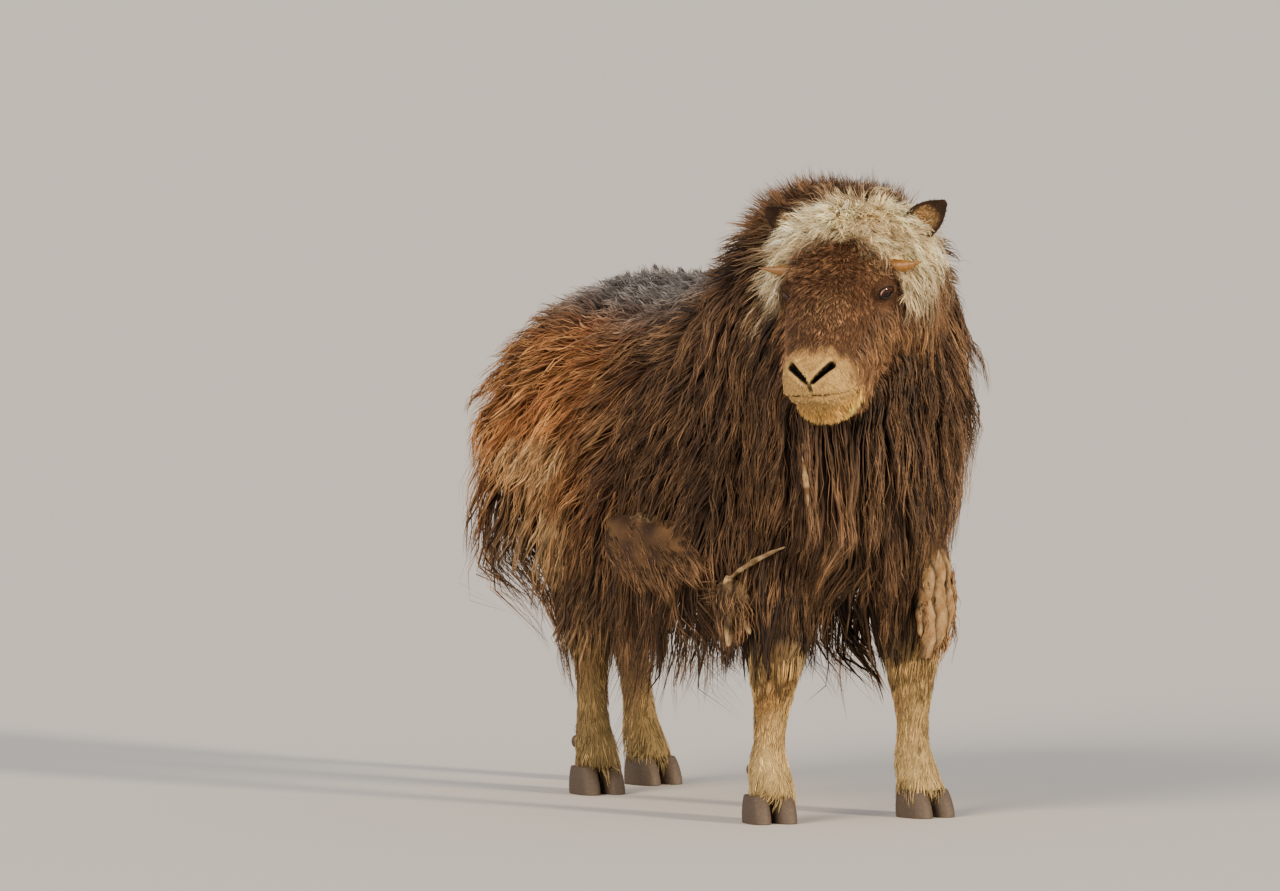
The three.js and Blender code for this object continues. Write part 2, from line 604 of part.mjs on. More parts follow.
// On the head: curls across the crown and down the temples, longer hair that falls down and back from the
// cheeks, and a short beard
const curl = (aside, ahead, down) => (t, side) =>
  vec(side * aside, -ahead, -down).transformDirection(headMatrix);
const fall = (back, down) => (t, side) => vec(side * 0.1, back, -down);
const CROWN_TIERS = [
  [14, 0.02, 0.3, 2, curl(0.5, 1, 0), 78, 74, 10, 16, 0.1, 1.05],
  [48, 0.02, 0.3, 2, curl(0.9, 0.7, 0.3), 84, 74, 10, 14, 0.2, 1.05],
  [80, 0.02, 0.3, 2, fall(0.1, 1), 96, 70, 10, 12, 0.6, 1.05],
  [108, 0.04, 0.4, 3, fall(0.3, 1), 100, 64, 10, 12, 0.9, 1.05],
].map(tierOf);
const BEARD_TIERS = [
  [100, 0.15, 0.6, 3, fall(0.2, 1), 96, 60, 10, 12, 1.1, 1.05],
  [145, 0.1, 0.85, 4, fall(0.1, 1), 72, 56, 9, 18, 1.4, 1.05],
].map(tierOf);

const TAIL_TIERS = [
  [0, 0.25, 0.8, 2, fall(0.2, 1), 90, 46, 8, 10, 0.6, 1],
  [65, 0.3, 0.8, 1, fall(0.1, 1), 100, 46, 8, 10, 0.6, 1],
].map(tierOf);

// Zones. The head's is in front of a bent wall behind the jaw; the neck's ends at a wall ahead of the hump.
const HEAD_ROOM = { aside: 178, ahead: 600, wall: [[-105, 400], [-138, -40], [-145, -120], [-110, -195]] };
function headZone(grow = 0) {
  const { aside, ahead: front, wall } = HEAD_ROOM;
  const foot = wall[wall.length - 1][1];
  const outline = new THREE.Shape([
    ...wall.map(([x, z]) => new THREE.Vector2(x * UNIT - grow, z * UNIT - (z === foot ? grow : 0))),
    new THREE.Vector2(front * UNIT, foot * UNIT - grow),
    new THREE.Vector2(front * UNIT, wall[0][1] * UNIT),
  ]);
  const wide = 2 * (aside * UNIT + grow);
  const block = new THREE.ExtrudeGeometry(outline, { depth: wide, bevelEnabled: false });
  const ahead = vec(-Math.sin(rad(HEAD_TURN)), -Math.cos(rad(HEAD_TURN)), 0);
  const up = vec(0, 0, 1);
  const side = vec().crossVectors(ahead, up);
  const middle = EYE_LINE.clone().addScaledVector(side, -wide / 2);
  return solidOf(block, new THREE.Matrix4().makeBasis(ahead, up, side).setPosition(middle));
}

const NECK_WALL = { turn: 14, y: -338 };
function splitAtNeck(solid, ahead) {
  const normal = [-Math.sin(rad(NECK_WALL.turn)), -Math.cos(rad(NECK_WALL.turn)), 0];
  const offset = NECK_WALL.y * UNIT * normal[1];
  return ahead ? solid.trimByPlane(normal, offset + GAP / 2)
    : solid.trimByPlane(normal.map((x) => -x), GAP / 2 - offset);
}

// The whole animal, node by node

const legs = Object.entries(FEET).map(([name, foot]) => ({ name, foot }));
const legRoom = () => legs.map(({ foot }) => grown(leg(foot)));

function headNode(flesh) {
  let made = joined([...flesh, ...PADS.map(pad), ...[1, -1].map(orbit)]).intersect(headZone());
  made = made.subtract(joined([1, -1].map(opening)));
  made = joined([made, ...[1, -1].flatMap((side) => [lid(side, 1), lid(side, -1)])]);
  const rooms = [1, -1].flatMap((side) => [eye, ear, horn].map((piece) => grown(piece(side))));
  return largest(made.subtract(joined([mouth(), nostril(1), nostril(-1), ...rooms])));
}

function neckNode(flesh) {
  const made = splitAtNeck(joined(flesh).subtract(headZone(GAP)), true);
  return largest(made.subtract(joined([grown(ear(1)), grown(ear(-1)), ...legRoom()])));
}

const tailPieces = () => [tail.solid(6, 10, CORE), ...tailCoat];
function torsoNode(flesh) {
  const made = splitAtNeck(joined(flesh), false);
  return largest(made.subtract(joined([...tailPieces().map(grown), ...legRoom()])));
}

function legNode(foot) {
  const claws = [1, -1].map((side) => grown(dewclaw(foot, side)));
  return largest(leg(foot).subtract(joined(claws)));
}

// Materials: base colour, roughness
const COAT = new THREE.MeshStandardMaterial({ color: 0x4a3022, roughness: 0.95, metalness: 0 });
const PALE_COAT = new THREE.MeshStandardMaterial({ color: 0xc9a878, roughness: 0.95, metalness: 0 });
const HORN_FINISH = new THREE.MeshStandardMaterial({ color: 0xb4925c, roughness: 0.5, metalness: 0 });
const HOOF_FINISH = new THREE.MeshStandardMaterial({ color: 0x2b2420, roughness: 0.6, metalness: 0 });
const EYE_FINISH = new THREE.MeshStandardMaterial({ color: 0x1b0f0a, roughness: 0.1, metalness: 0 });

const model = new THREE.Group();
function add(name, solid, material) {
  const mesh = new THREE.Mesh(geometryOf(solid), material);
  mesh.name = name;
  model.add(mesh);
}

const cores = [torso.solid(14, 20, CORE), neck.solid(9, 20, CORE)];
const headCores = [skull.solid(18, 16, CORE), jaw.solid(10, 12, CORE)];
const torsoCoat = coat(torso, TORSO_TIERS);
const neckCoat = coat(neck, NECK_TIERS);
const headCoat = [...coat(skull, CROWN_TIERS), ...coat(jaw, BEARD_TIERS)];
const tailCoat = coat(tail, TAIL_TIERS);
add('torso', torsoNode([...cores, ...torsoCoat, ...neckCoat]), COAT);
add('neck', neckNode([...cores, ...headCores, ...torsoCoat, ...neckCoat, ...headCoat]), COAT);
add('head', headNode([...cores, ...headCores, ...neckCoat, ...headCoat]), COAT);
add('tail', largest(joined(tailPieces())), COAT);
for (const { name, foot } of legs) {
  add(name, legNode(foot), PALE_COAT);
  for (const [label, side] of SIDES) {
    add(`${name}_claw_${label}`, claw(foot, side), HOOF_FINISH);
    add(`${name}_dewclaw_${label}`, dewclaw(foot, side), HOOF_FINISH);
  }
}
for (const [label, side] of SIDES) {
  add(`ear_${label}`, ear(side), COAT);
  add(`horn_${label}`, horn(side), HORN_FINISH);
  add(`eye_${label}`, eye(side), EYE_FINISH);
}

// The origin is on the floor, below the middle of the whole animal
const middle = new THREE.Box3().setFromObject(model).getCenter(vec());
model.position.set(gridded(-middle.x), gridded(-middle.y), 0);

export default model;
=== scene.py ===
"""A young muskox in its first moult, as a still, life-size model: skin, coat, eyes, horns and hooves.

Lengths are in millimetres in the animal's own frame until a mesh is made. It faces -Y, with its left at +X.
"""
import math
from collections import namedtuple

import bmesh
import bpy
import numpy as np
from mathutils import Matrix, Vector
from mathutils.bvhtree import BVHTree
from mathutils.kdtree import KDTree


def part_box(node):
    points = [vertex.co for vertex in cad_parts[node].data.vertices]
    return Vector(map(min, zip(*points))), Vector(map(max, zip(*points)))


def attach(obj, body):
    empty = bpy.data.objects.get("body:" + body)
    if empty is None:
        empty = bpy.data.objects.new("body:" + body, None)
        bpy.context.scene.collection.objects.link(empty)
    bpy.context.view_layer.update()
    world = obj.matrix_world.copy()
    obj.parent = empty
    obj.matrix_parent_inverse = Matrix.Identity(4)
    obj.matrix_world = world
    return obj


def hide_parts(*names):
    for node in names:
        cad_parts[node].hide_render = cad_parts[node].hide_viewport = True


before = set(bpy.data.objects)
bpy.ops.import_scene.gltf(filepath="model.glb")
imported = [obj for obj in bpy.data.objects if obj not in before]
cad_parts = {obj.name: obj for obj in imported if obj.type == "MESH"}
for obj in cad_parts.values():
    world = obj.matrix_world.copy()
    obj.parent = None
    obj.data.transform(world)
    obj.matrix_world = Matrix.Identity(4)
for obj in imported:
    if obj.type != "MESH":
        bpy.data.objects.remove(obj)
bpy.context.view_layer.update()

bl_info = {
    "name": "Young muskox",
    "version": (1, 0, 0),
    "blender": (4, 5, 0),
    "location": "3D View > Sidebar > Muskox",
    "description": "Builds a young muskox: its skin, long coat, face, eyes, horns, ears and hooves",
    "category": "Object",
}

MM = 0.001
SIDES = (("left", 1), ("right", -1))
LEGS = ("foreleg_left", "foreleg_right", "hindleg_left", "hindleg_right")
DOWN = np.array([0, 0, -1.0])

# What the operators share while the animal is built
BUILT = {}


# Small helpers

def rad(degrees):
    return math.radians(degrees)


def unit(v):
    return v / np.maximum(np.linalg.norm(v, axis=-1, keepdims=True), 1e-9)


def smooth(low, high, x):
    """0 below low, 1 above high, and a soft step between them."""
    f = np.clip((np.asarray(x, float) - low) / (high - low), 0, 1)
    return f * f * (3 - 2 * f)


def fade(low, high, x):
    """1 below low, 0 above high, and a soft step between them."""
    return 1 - smooth(low, high, x)


def mix(a, b, f):
    """From number a to number b by f."""
    return a + (b - a) * f


def blend(a, b, f):
    """From vector or colour a to b by f."""
    return a + (b - a) * np.asarray(f, float)[..., None]


def mixed(value, *steps):
    """A value drawn in turn towards each step's number by its share."""
    for towards, share in steps:
        value = mix(value, towards, share)
    return value


def bump_at(x, middle, width):
    """1 at the middle, falling off softly on both sides of it."""
    return np.exp(-((x - middle) / width) ** 2)


def by_rows(x, rows):
    """The value at x on straight lines through rows of x and value."""
    at, values = zip(*rows)
    return np.interp(x, at, values)


def around(count):
    """Angles evenly round a circle."""
    return np.linspace(0, 2 * math.pi, count, endpoint=False)


def linear(text):
    """An sRGB hex colour as three linear values."""
    values = [int(text[i:i + 2], 16) / 255 for i in (1, 3, 5)]
    return np.array([v / 12.92 if v <= 0.04045 else ((v + 0.055) / 1.055) ** 2.4 for v in values])


def curve(rows, t):
    """The row of a table at t, from 0 at its first to 1 at its last, on a smooth curve through them."""
    rows = np.asarray(rows, float)
    last = len(rows) - 1
    at = np.clip(np.asarray(t, float), 0, 1) * last
    i = np.minimum(at.astype(int), last - 1)
    f = (at - i)[..., None]
    a, b, c, d = (rows[np.clip(i + k, 0, last)] for k in (-1, 0, 1, 2))
    return b + 0.5 * f * (c - a + f * (2 * a - 5 * b + 4 * c - d + f * (3 * (b - c) + d - a)))


# Forms of the body: rows of sections, as in the solids

# Along, half width, top, bottom; depth of the coat at the side and on top, and the height of its hem
TORSO = [
    [-425, 70, 850, 500, 50, 46, 330],
    [-370, 140, 950, 430, 82, 64, 240],
    [-270, 168, 906, 392, 96, 62, 190],
    [-150, 174, 850, 385, 94, 56, 168],
    [-20, 180, 806, 383, 90, 54, 158],
    [110, 184, 796, 388, 90, 54, 166],
    [230, 184, 795, 402, 92, 56, 180],
    [340, 174, 766, 430, 94, 60, 200],
    [425, 146, 706, 465, 92, 64, 225],
    [480, 96, 650, 510, 84, 58, 275],
    [506, 45, 610, 550, 60, 40, 370],
]
# Middle of the section, its turn to the right and lean ahead in degrees, half width, reach up and down,
# and the coat's depth on each
NECK = [
    [0, -215, 690, 0, 0, 156, 160, 240, 70, 60, 130],
    [-4, -335, 708, 12, 4, 156, 240, 235, 92, 56, 200],
    [-40, -412, 742, 28, 10, 130, 192, 205, 88, 56, 230],
    [-75, -468, 775, 42, 18, 104, 130, 165, 64, 42, 205],
    [-100, -502, 793, 49, 26, 78, 66, 125, 30, 20, 160],
    [-116, -524, 800, 49, 30, 40, 26, 70, 14, 10, 120],
]
# In the head's frame: distance ahead of the eyes, half width, top, bottom, and the coat's depth at the side,
# on top and below
SKULL = [
    [-160, 74, 12, -110, 56, 56, 20],
    [-115, 88, 32, -128, 54, 56, 20],
    [-60, 92, 40, -128, 39, 46, 20],
    [-10, 87, 42, -118, 17, 28, 20],
    [40, 74, 36, -104, 10, 14, 10],
    [90, 64, 28, -92, 8, 8, 6],
    [130, 58, 21, -82, 5, 5, 4],
    [160, 56, 13, -72, 3, 3, 3],
    [182, 52, 2, -62, 3, 3, 3],
    [196, 40, -12, -50, 2, 2, 2],
]
JAW = [
    [-130, 66, -60, -150, 46, 10, 50],
    [-70, 68, -60, -162, 40, 10, 56],
    [0, 60, -60, -152, 24, 8, 40],
    [60, 50, -56, -136, 12, 5, 24],
    [110, 45, -52, -122, 6, 4, 14],
    [150, 45, -48, -108, 4, 3, 10],
    [178, 40, -44, -98, 3, 2, 7],
    [192, 27, -50, -86, 2, 2, 4],
]
# Height, distance back, half width, depth of the hair
TAIL = [[625, 450, 26, 8], [600, 482, 27, 14], [560, 500, 25, 18], [515, 508, 20, 20], [472, 508, 10, 18]]
# Height, shift ahead, half width, reach ahead and back
FORELEG = [
    [440, -10, 52, 60, 70], [380, -6, 58, 62, 68], [320, 0, 54, 56, 58], [265, 4, 44, 46, 43],
    [210, 3, 36, 33, 35], [160, 0, 27, 25, 28], [118, -2, 26, 25, 30], [92, 0, 32, 30, 36],
    [66, 8, 35, 34, 36], [40, 14, 39, 40, 36],
]
HINDLEG = [
    [440, 10, 54, 76, 70], [380, 0, 60, 72, 70], [330, -10, 54, 58, 58], [285, -24, 42, 43, 46],
    [230, -26, 31, 30, 35], [165, -16, 26, 24, 28], [122, -10, 26, 25, 30], [94, -4, 31, 30, 36],
    [66, 6, 34, 34, 34], [40, 12, 38, 39, 34],
]
# Each foot's place on the floor and its turn outwards
FEET = {
    "foreleg_left": (FORELEG, (135, -362), 6),
    "foreleg_right": (FORELEG, (-128, -340), -12),
    "hindleg_left": (HINDLEG, (78, 392), 6),
    "hindleg_right": (HINDLEG, (-88, 275), -6),
}
LEAN = 0.06  # of its height: how far each leg leans in
WIDEST = 0.42  # of the torso's height: the level of its greatest width

# The head's frame: origin on the middle of the eye line, -Y along the face to the nose, +Z out of the
# forehead
EYE_LINE = (-120, -550, 841)
HEAD_TURN, HEAD_DIP, HEAD_TILT = 49, 40, 4.5
HEAD = Matrix.Translation(EYE_LINE) @ (
    Matrix.Rotation(rad(-HEAD_TURN), 4, "Z") @ Matrix.Rotation(rad(HEAD_DIP), 4, "X")
    @ Matrix.Rotation(rad(-HEAD_TILT), 4, "Y"))

EYE_RADIUS = 19
EYE_PLACE = (71, 2, 5)
EYE_AIM = 52
# The back corner lies lower in the head than the front one, so that it is level as the head is held
EYE_ROLL = 26
EYE_OPENING = (12.2, 9.4)
LOWER_LID = 0.9  # of the upper lid's height
# Towards the back and up from the middle of the opening: the eye looks ahead and down
IRIS_PLACE = (0.8, -2.4)


def sided(place, side):
    """A place or way that is given for the left, on one side."""
    return np.array([side * place[0], place[1], place[2]], float)


def eye_matrix(side):
    """The eye's frame: +X aside, -Y out of the opening."""
    placed = HEAD @ Matrix.Translation(sided(EYE_PLACE, side))
    aimed = placed @ Matrix.Rotation(rad(side * EYE_AIM), 4, "Z")
    return aimed @ Matrix.Rotation(rad(side * EYE_ROLL), 4, "Y")


def moved(points, matrix):
    m = np.array(matrix)
    return points @ m[:3, :3].T + m[:3, 3]


def turned(vectors, matrix):
    return vectors @ np.array(matrix)[:3, :3].T


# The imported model's origin is below its middle, so the eyes tell where this frame's origin is there
EYES_PACKED = sum((Vector(c) for side in ("left", "right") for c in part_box(f"eye_{side}")), Vector()) / 4
EYES_HERE = (eye_matrix(1).translation + eye_matrix(-1).translation) / 2 * MM
SHIFT = np.array([EYES_PACKED.x - EYES_HERE.x, EYES_PACKED.y - EYES_HERE.y, 0])


class Form:
    """A form of flesh through sections: frames(t) gives their middles, side and up directions, half width,
    reach up and down, and the coat's depth on each. square says how square they are above and below."""

    def __init__(self, frames, square, matrix=Matrix()):
        self.frames, self.square, self.matrix = frames, square, matrix

    def ring(self, t, angles, share, share_under):
        middle, side, up, half, over, under, coat = (x[0] for x in self.frames(np.array([t])))
        s, c = np.sin(angles), np.cos(angles)
        power = np.where(c > 0, 2 / self.square[0], 2 / self.square[1])
        wide = (half + share * coat[0]) * np.sign(s) * np.abs(s) ** power
        reach = np.where(c > 0, over + share * coat[1], under + share_under * coat[2])
        high = reach * np.sign(c) * np.abs(c) ** power
        return moved(middle + wide[:, None] * side + high[:, None] * up, self.matrix)

    def mesh(self, rows, count, share, share_under):
        """Points and faces of the closed form at a share of the coat's depth."""
        angles = around(count)
        return tube([self.ring(t, angles, share, share_under) for t in np.linspace(0, 1, rows + 1)])

    def locate(self, points, share, share_under):
        """For each point the nearest section's t, the angle round it, the distance as a share of its size
        and the coat's depth."""
        steps = np.linspace(0, 1, 61)
        middle, side, up, half, over, under, coat = self.frames(steps)
        local = moved(points, self.matrix.inverted())
        axis = np.cross(side, up)
        best = np.full(len(points), 1e9)
        index = np.zeros(len(points), int)
        for i in range(len(steps)):
            away = local - middle[i]
            cost = np.abs(away @ axis[i]) + 0.1 * np.linalg.norm(away, axis=1)
            closer = cost < best
            best[closer], index[closer] = cost[closer], i
        away = local - middle[index]
        s, h, off = ((away * v[index]).sum(1) for v in (side, up, axis))
        wide = half[index] + share * coat[index, 0]
        high = np.where(h > 0, over[index] + share * coat[index, 1],
                        under[index] + share_under * coat[index, 2])
        power = np.where(h > 0, self.square[0], self.square[1])
        size = (np.abs(s / wide) ** power + np.abs(h / high) ** power) ** (1 / power)
        size = size + np.maximum(np.abs(off) - 12, 0) / wide
        return steps[index], np.degrees(np.arctan2(s / wide, h / high)), size, coat[index]


def quads(rings, count, closed=False):
    """Faces between rings of points, and from the last ring to the first where they close."""
    faces = []
    for r in range(rings if closed else rings - 1):
        n = (r + 1) % rings
        for i in range(count):
            j = (i + 1) % count
            faces.append((r * count + i, r * count + j, n * count + j, n * count + i))
    return faces


def tube(rings):
    """Points and faces of a closed skin over rings of points."""
    count, last = len(rings[0]), len(rings) - 1
    points = np.concatenate(list(rings) + [rings[0].mean(0)[None], rings[-1].mean(0)[None]])
    faces = quads(len(rings), count)
    top, foot = (last + 1) * count, (last + 1) * count + 1
    for i in range(count):
        j = (i + 1) % count
        faces += [(top, j, i), (foot, last * count + i, last * count + j)]
    return points, faces


def straight(count, side, up):
    """The same side and up directions for each section."""
    return np.tile(np.array(side, float), (count, 1)), np.tile(np.array(up, float), (count, 1))


def torso_frames(t):
    y, half, top, bottom, coat_side, coat_over, hem = curve(TORSO, t).T
    level = bottom + WIDEST * (top - bottom)
    side, up = straight(len(t), (1, 0, 0), (0, 0, 1))
    middle = np.stack([0 * y, y, level], 1)
    coat = np.stack([coat_side, coat_over, bottom - hem], 1)
    return middle, side, up, half, top - level, level - bottom, coat


def neck_frames(t):
    x, y, z, turn, lean, half, over, under, *coat = curve(NECK, t).T
    a, tip = np.radians(turn), np.radians(lean)
    side = np.stack([np.cos(a), -np.sin(a), 0 * a], 1)
    up = np.stack([np.sin(a) * np.sin(tip), np.cos(a) * np.sin(tip), np.cos(tip)], 1)
    return np.stack([x, y, z], 1), side, up, half, over, under, np.stack(coat, 1)


def head_frames(table):
    def frames(t):
        ahead, half, top, bottom, *coat = curve(table, t).T
        side, up = straight(len(t), (1, 0, 0), (0, 0, 1))
        middle = np.stack([0 * ahead, -ahead, (top + bottom) / 2], 1)
        return middle, side, up, half, (top - bottom) / 2, (top - bottom) / 2, np.stack(coat, 1)
    return frames


def tail_frames(t):
    z, y, half, coat = curve(TAIL, t).T
    side, up = straight(len(t), (1, 0, 0), (0, math.cos(rad(20)), math.sin(rad(20))))
    return (np.stack([0 * z, y, z], 1), side, up, half, 0.8 * half, 0.8 * half,
            np.stack([coat, coat, 0.2 * coat], 1))


def leg_frames(name):
    rows, (x, y), _ = FEET[name]

    def frames(t):
        z, ahead, half, front, back = curve(rows, t).T
        side, up = straight(len(t), (1, 0, 0), (0, -1, 0))
        middle = np.stack([x - math.copysign(LEAN, x) * z, y - ahead, z], 1)
        coat = np.full((len(t), 3), 8.0)
        return middle, side, up, half - 4, front - 4, back - 4, coat
    return frames


FORMS = {
    "torso": Form(torso_frames, (2, 3)),
    "neck": Form(neck_frames, (2.1, 2.6)),
    "skull": Form(head_frames(SKULL), (2.3, 2.3), HEAD),
    "jaw": Form(head_frames(JAW), (2.3, 2.3), HEAD),
    "tail": Form(tail_frames, (2, 2)),
    **{name: Form(leg_frames(name), (2, 2)) for name in LEGS},
}
SKIN_SHARE = 0.4  # of the coat's depth: how far out the skin lies
SKIN_UNDER = 0.14  # of the hanging coat's length below


# Settings that a user would change

def size_value(name, description, default):
    return bpy.props.FloatProperty(
        name=name, description=description, default=default, min=0, unit="LENGTH")


def colour_value(name, description, text):
    return bpy.props.FloatVectorProperty(
        name=name, description=description, default=tuple(linear(text)), size=3, min=0, max=1,
        subtype="COLOR")


class MuskoxSizes(bpy.types.PropertyGroup):
    """Sizes of the coat and the skin's mesh"""
    voxel: size_value("Skin mesh", "Edge length of the skin's faces", 0.0062)
    wave: size_value("Wave", "Length of one wave of the long hair's locks", 0.105)
    crimp: size_value("Crimp", "Length of one small wave of the long hair", 0.044)


class MuskoxColours(bpy.types.PropertyGroup):
    """Colours of the coat by region"""
    mane: colour_value("Mane", "Long hair of neck and chest", "#3a2a20")
    mane_tip: colour_value("Mane tips", "Bleached ends of the mane", "#ad8660")
    flank: colour_value("Flank", "Long hair of the flank", "#8c5832")
    flank_tip: colour_value("Flank tips", "Sun-bleached ends on the flank", "#eab776")
    rump: colour_value("Rump", "Long hair at the rear edge", "#2a201a")
    rump_tip: colour_value("Rump tips", "Ends of the long hair at the rear edge", "#5c4936")
    saddle: colour_value("Saddle", "Short wool of the mid-back", "#5b5552")
    saddle_tip: colour_value("Saddle tips", "Ends of the wool of the mid-back", "#adabaa")
    wool: colour_value("Underwool", "Shed underwool on the surface", "#b98c5c")
    wool_tip: colour_value("Underwool tips", "Pale ends of the shed underwool", "#e6c796")
    crown: colour_value("Crown", "Curly band across the crown", "#fbedcd")
    crown_root: colour_value("Crown roots", "Shaded roots of the band across the crown", "#ead4a8")
    forehead: colour_value("Forehead", "Short hair of the forehead", "#5a3f2c")
    forehead_tip: colour_value("Forehead tips", "Ends of the hair of the forehead", "#a67c59")
    fleck: colour_value("Flecks", "Golden ends between the eyes", "#dcb482")
    cheek: colour_value("Cheek", "Hair of the cheeks", "#6e4e36")
    cheek_tip: colour_value("Cheek tips", "Ends of the hair of the cheeks", "#d2a472")
    muzzle: colour_value("Muzzle", "Short hair round nose and lips", "#dcb673")
    chin: colour_value("Chin", "Hair of the chin", "#e9ba66")
    # Near black: the dark bare skin of nose pad and lid rims, and painted shade in the nostril slits and the
    # groove of the mouth
    naked_skin_and_shade: colour_value("Bare skin", "Nostrils, lips and lid rims", "#0b0807")
    leg: colour_value("Leg", "Short hair of the lower legs", "#d9bf85")
    leg_shade: colour_value("Leg shading", "Golden tan on the legs", "#a5743a")
    ear: colour_value("Ear", "Outside and rim of the ears", "#30221a")
    ear_inside: colour_value("Ear inside", "Hair in the cup of the ears", "#b08f62")


def settings():
    return bpy.context.scene.muskox_sizes


def colour(name):
    return np.array(getattr(bpy.context.scene.muskox_colours, name))


# Meshes

def new_object(name, data):
    made = bpy.data.objects.new(name, data)
    bpy.context.scene.collection.objects.link(made)
    return made


def smooth_shaded(mesh):
    mesh.polygons.foreach_set("use_smooth", np.ones(len(mesh.polygons), bool))


def mesh_object(name, points, faces):
    """A new object from points in this frame's millimetres."""
    mesh = bpy.data.meshes.new(name)
    mesh.from_pydata((np.asarray(points) * MM + SHIFT).tolist(), [], [tuple(f) for f in faces])
    mesh.validate()
    smooth_shaded(mesh)
    return new_object(name, mesh)


def edited(mesh, change):
    """Changes a mesh through an editable copy of it."""
    bm = bmesh.new()
    bm.from_mesh(mesh)
    change(bm)
    bm.to_mesh(mesh)
    bm.free()


def faced_out(bm):
    bmesh.ops.recalc_face_normals(bm, faces=bm.faces)


def welded(bm):
    """Joins points that lie together, such as those at a ball's poles."""
    doubles = bmesh.ops.find_doubles(bm, verts=bm.verts, dist=1e-6)
    bmesh.ops.weld_verts(bm, targetmap=doubles["targetmap"])
    faced_out(bm)


def solid(name, points, faces):
    """A new closed object whose faces look out."""
    made = mesh_object(name, points, faces)
    edited(made.data, faced_out)
    return made


def finish_piece(piece, slot, material, *nodes):
    """Gives the piece its finish and its place on the animal."""
    piece.data.materials.clear()
    piece.data.materials.append(material)
    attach(piece, "root")
    if nodes:
        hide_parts(*nodes)
    return piece


def evaluated(made, kind, **settings_of):
    """Applies one modifier of this kind and these settings to the object's mesh."""
    modifier = made.modifiers.new(kind, kind)
    for key, value in settings_of.items():
        setattr(modifier, key, value)
    depsgraph = bpy.context.evaluated_depsgraph_get()
    mesh = bpy.data.meshes.new_from_object(made.evaluated_get(depsgraph))
    made.modifiers.clear()
    made.data = mesh
    smooth_shaded(mesh)


def read(items, key, width, kind=float):
    """A value of each point, edge or corner of a mesh, as the rows of an array."""
    flat = np.empty(len(items) * width, kind)
    items.foreach_get(key, flat)
    return flat.reshape(-1, width)


def places(mesh):
    return (read(mesh.vertices, "co", 3) - SHIFT) / MM


def put_places(mesh, points):
    mesh.vertices.foreach_set("co", (points * MM + SHIFT).ravel())
    mesh.update()


def normals_of(mesh):
    return read(mesh.vertices, "normal", 3)


def edges_of(mesh):
    return read(mesh.edges, "vertices", 2, int)


def store(mesh, name, kind, key, values):
    """Stores values at each point under a name, for the materials."""
    layer = mesh.attributes.new(name, kind, "POINT")
    layer.data.foreach_set(key, values.astype(np.float32).ravel())


def paint(mesh, shade):
    """Stores a colour at each point, for the materials."""
    layer = mesh.color_attributes.new("Coat", "FLOAT_COLOR", "POINT")
    rgba = np.ones((len(shade), 4), np.float32)
    rgba[:, :3] = np.clip(shade, 0, 1)
    layer.data.foreach_set("color", rgba.ravel())


def coat_map(mesh, uv):
    """Stores each point's place on the unwrap that the coat is baked on."""
    corners = read(mesh.loops, "vertex_index", 1, int)[:, 0]
    mesh.uv_layers.new(name="OFBake").data.foreach_set("uv", uv[corners].astype(np.float32).ravel())


def relax(values, edges, rounds, share=0.5):
    """Evens out values over a mesh, each towards its neighbours' mean."""
    count = len(values)
    a, b = edges.T
    links = np.maximum(np.bincount(edges.ravel(), minlength=count), 1)[:, None]
    for _ in range(rounds):
        total = np.stack([np.bincount(a, column[b], count) + np.bincount(b, column[a], count)
                          for column in values.T], 1)
        values = values + share * (total / links - values)
    return values


# The skin

def refine(mesh, inside):
    """Splits in four the faces whose middle inside() accepts."""
    def split(bm):
        middles = np.array([f.calc_center_median() for f in bm.faces])
        chosen = inside((middles - SHIFT) / MM)
        edges = {e for f, yes in zip(bm.faces, chosen) if yes for e in f.edges}
        bmesh.ops.subdivide_edges(bm, edges=list(edges), cuts=1, use_grid_fill=True, smooth=0)
    edited(mesh, split)


def head_place(points):
    """Aside, ahead and up in the head's frame."""
    local = moved(points, HEAD.inverted())
    return local[:, 0], -local[:, 1], local[:, 2]


def in_face(points):
    x, ahead, z = head_place(points)
    return (ahead > -30) & (np.abs(x) < 120) & (z > -175) & (ahead < 230)


def in_features(points):
    _, ahead, z = head_place(points)
    centres = [np.array(eye_matrix(side).translation) for _, side in SIDES]
    eyes = np.min([np.linalg.norm(points - centre, axis=1) for centre in centres], axis=0)
    return ((ahead > 115) & (ahead < 230) & (z > -130)) | (eyes < 40)


# The left nostril's slit from its outer top down: aside, ahead and up in the head's frame
NOSTRIL = [(34, 168, 4), (28, 174, 3), (20, 181, 0), (12, 187, -4), (5, 191, -9)]
NOSTRIL_HALF = (6.2, 4.0)
# The line of the mouth: its level and place at the front, the corners, where it starts to be seen as dark,
# and how steeply it drops, in degrees
MOUTH = {"level": -34, "front": 196, "corner": 118, "seen": 152, "drop": 31}


def to_line(points, line):
    """Distance to a line of points and the share of the way along it."""
    line = np.array(line, float)
    best, along = np.full(len(points), 1e9), np.zeros(len(points))
    for i in range(len(line) - 1):
        a, d = line[i], line[i + 1] - line[i]
        f = np.clip(((points - a) @ d) / (d @ d), 0, 1)
        gap = np.linalg.norm(points - a - f[:, None] * d, axis=1)
        closer = gap < best
        best[closer], along[closer] = gap[closer], ((i + f) / (len(line) - 1))[closer]
    return best, along


def nostril_gap(local, side):
    """Distance to the nostril's middle line as a share of its half width there."""
    gap, along = to_line(local, [(side * a, -b, c) for a, b, c in NOSTRIL])
    return gap / mix(*NOSTRIL_HALF, along)


def mouth_gap(ahead, z):
    """Height above the line of the mouth, which runs level round the front and drops to the corners."""
    return z - (MOUTH["level"] - (MOUTH["front"] - ahead) * math.tan(rad(MOUTH["drop"])))


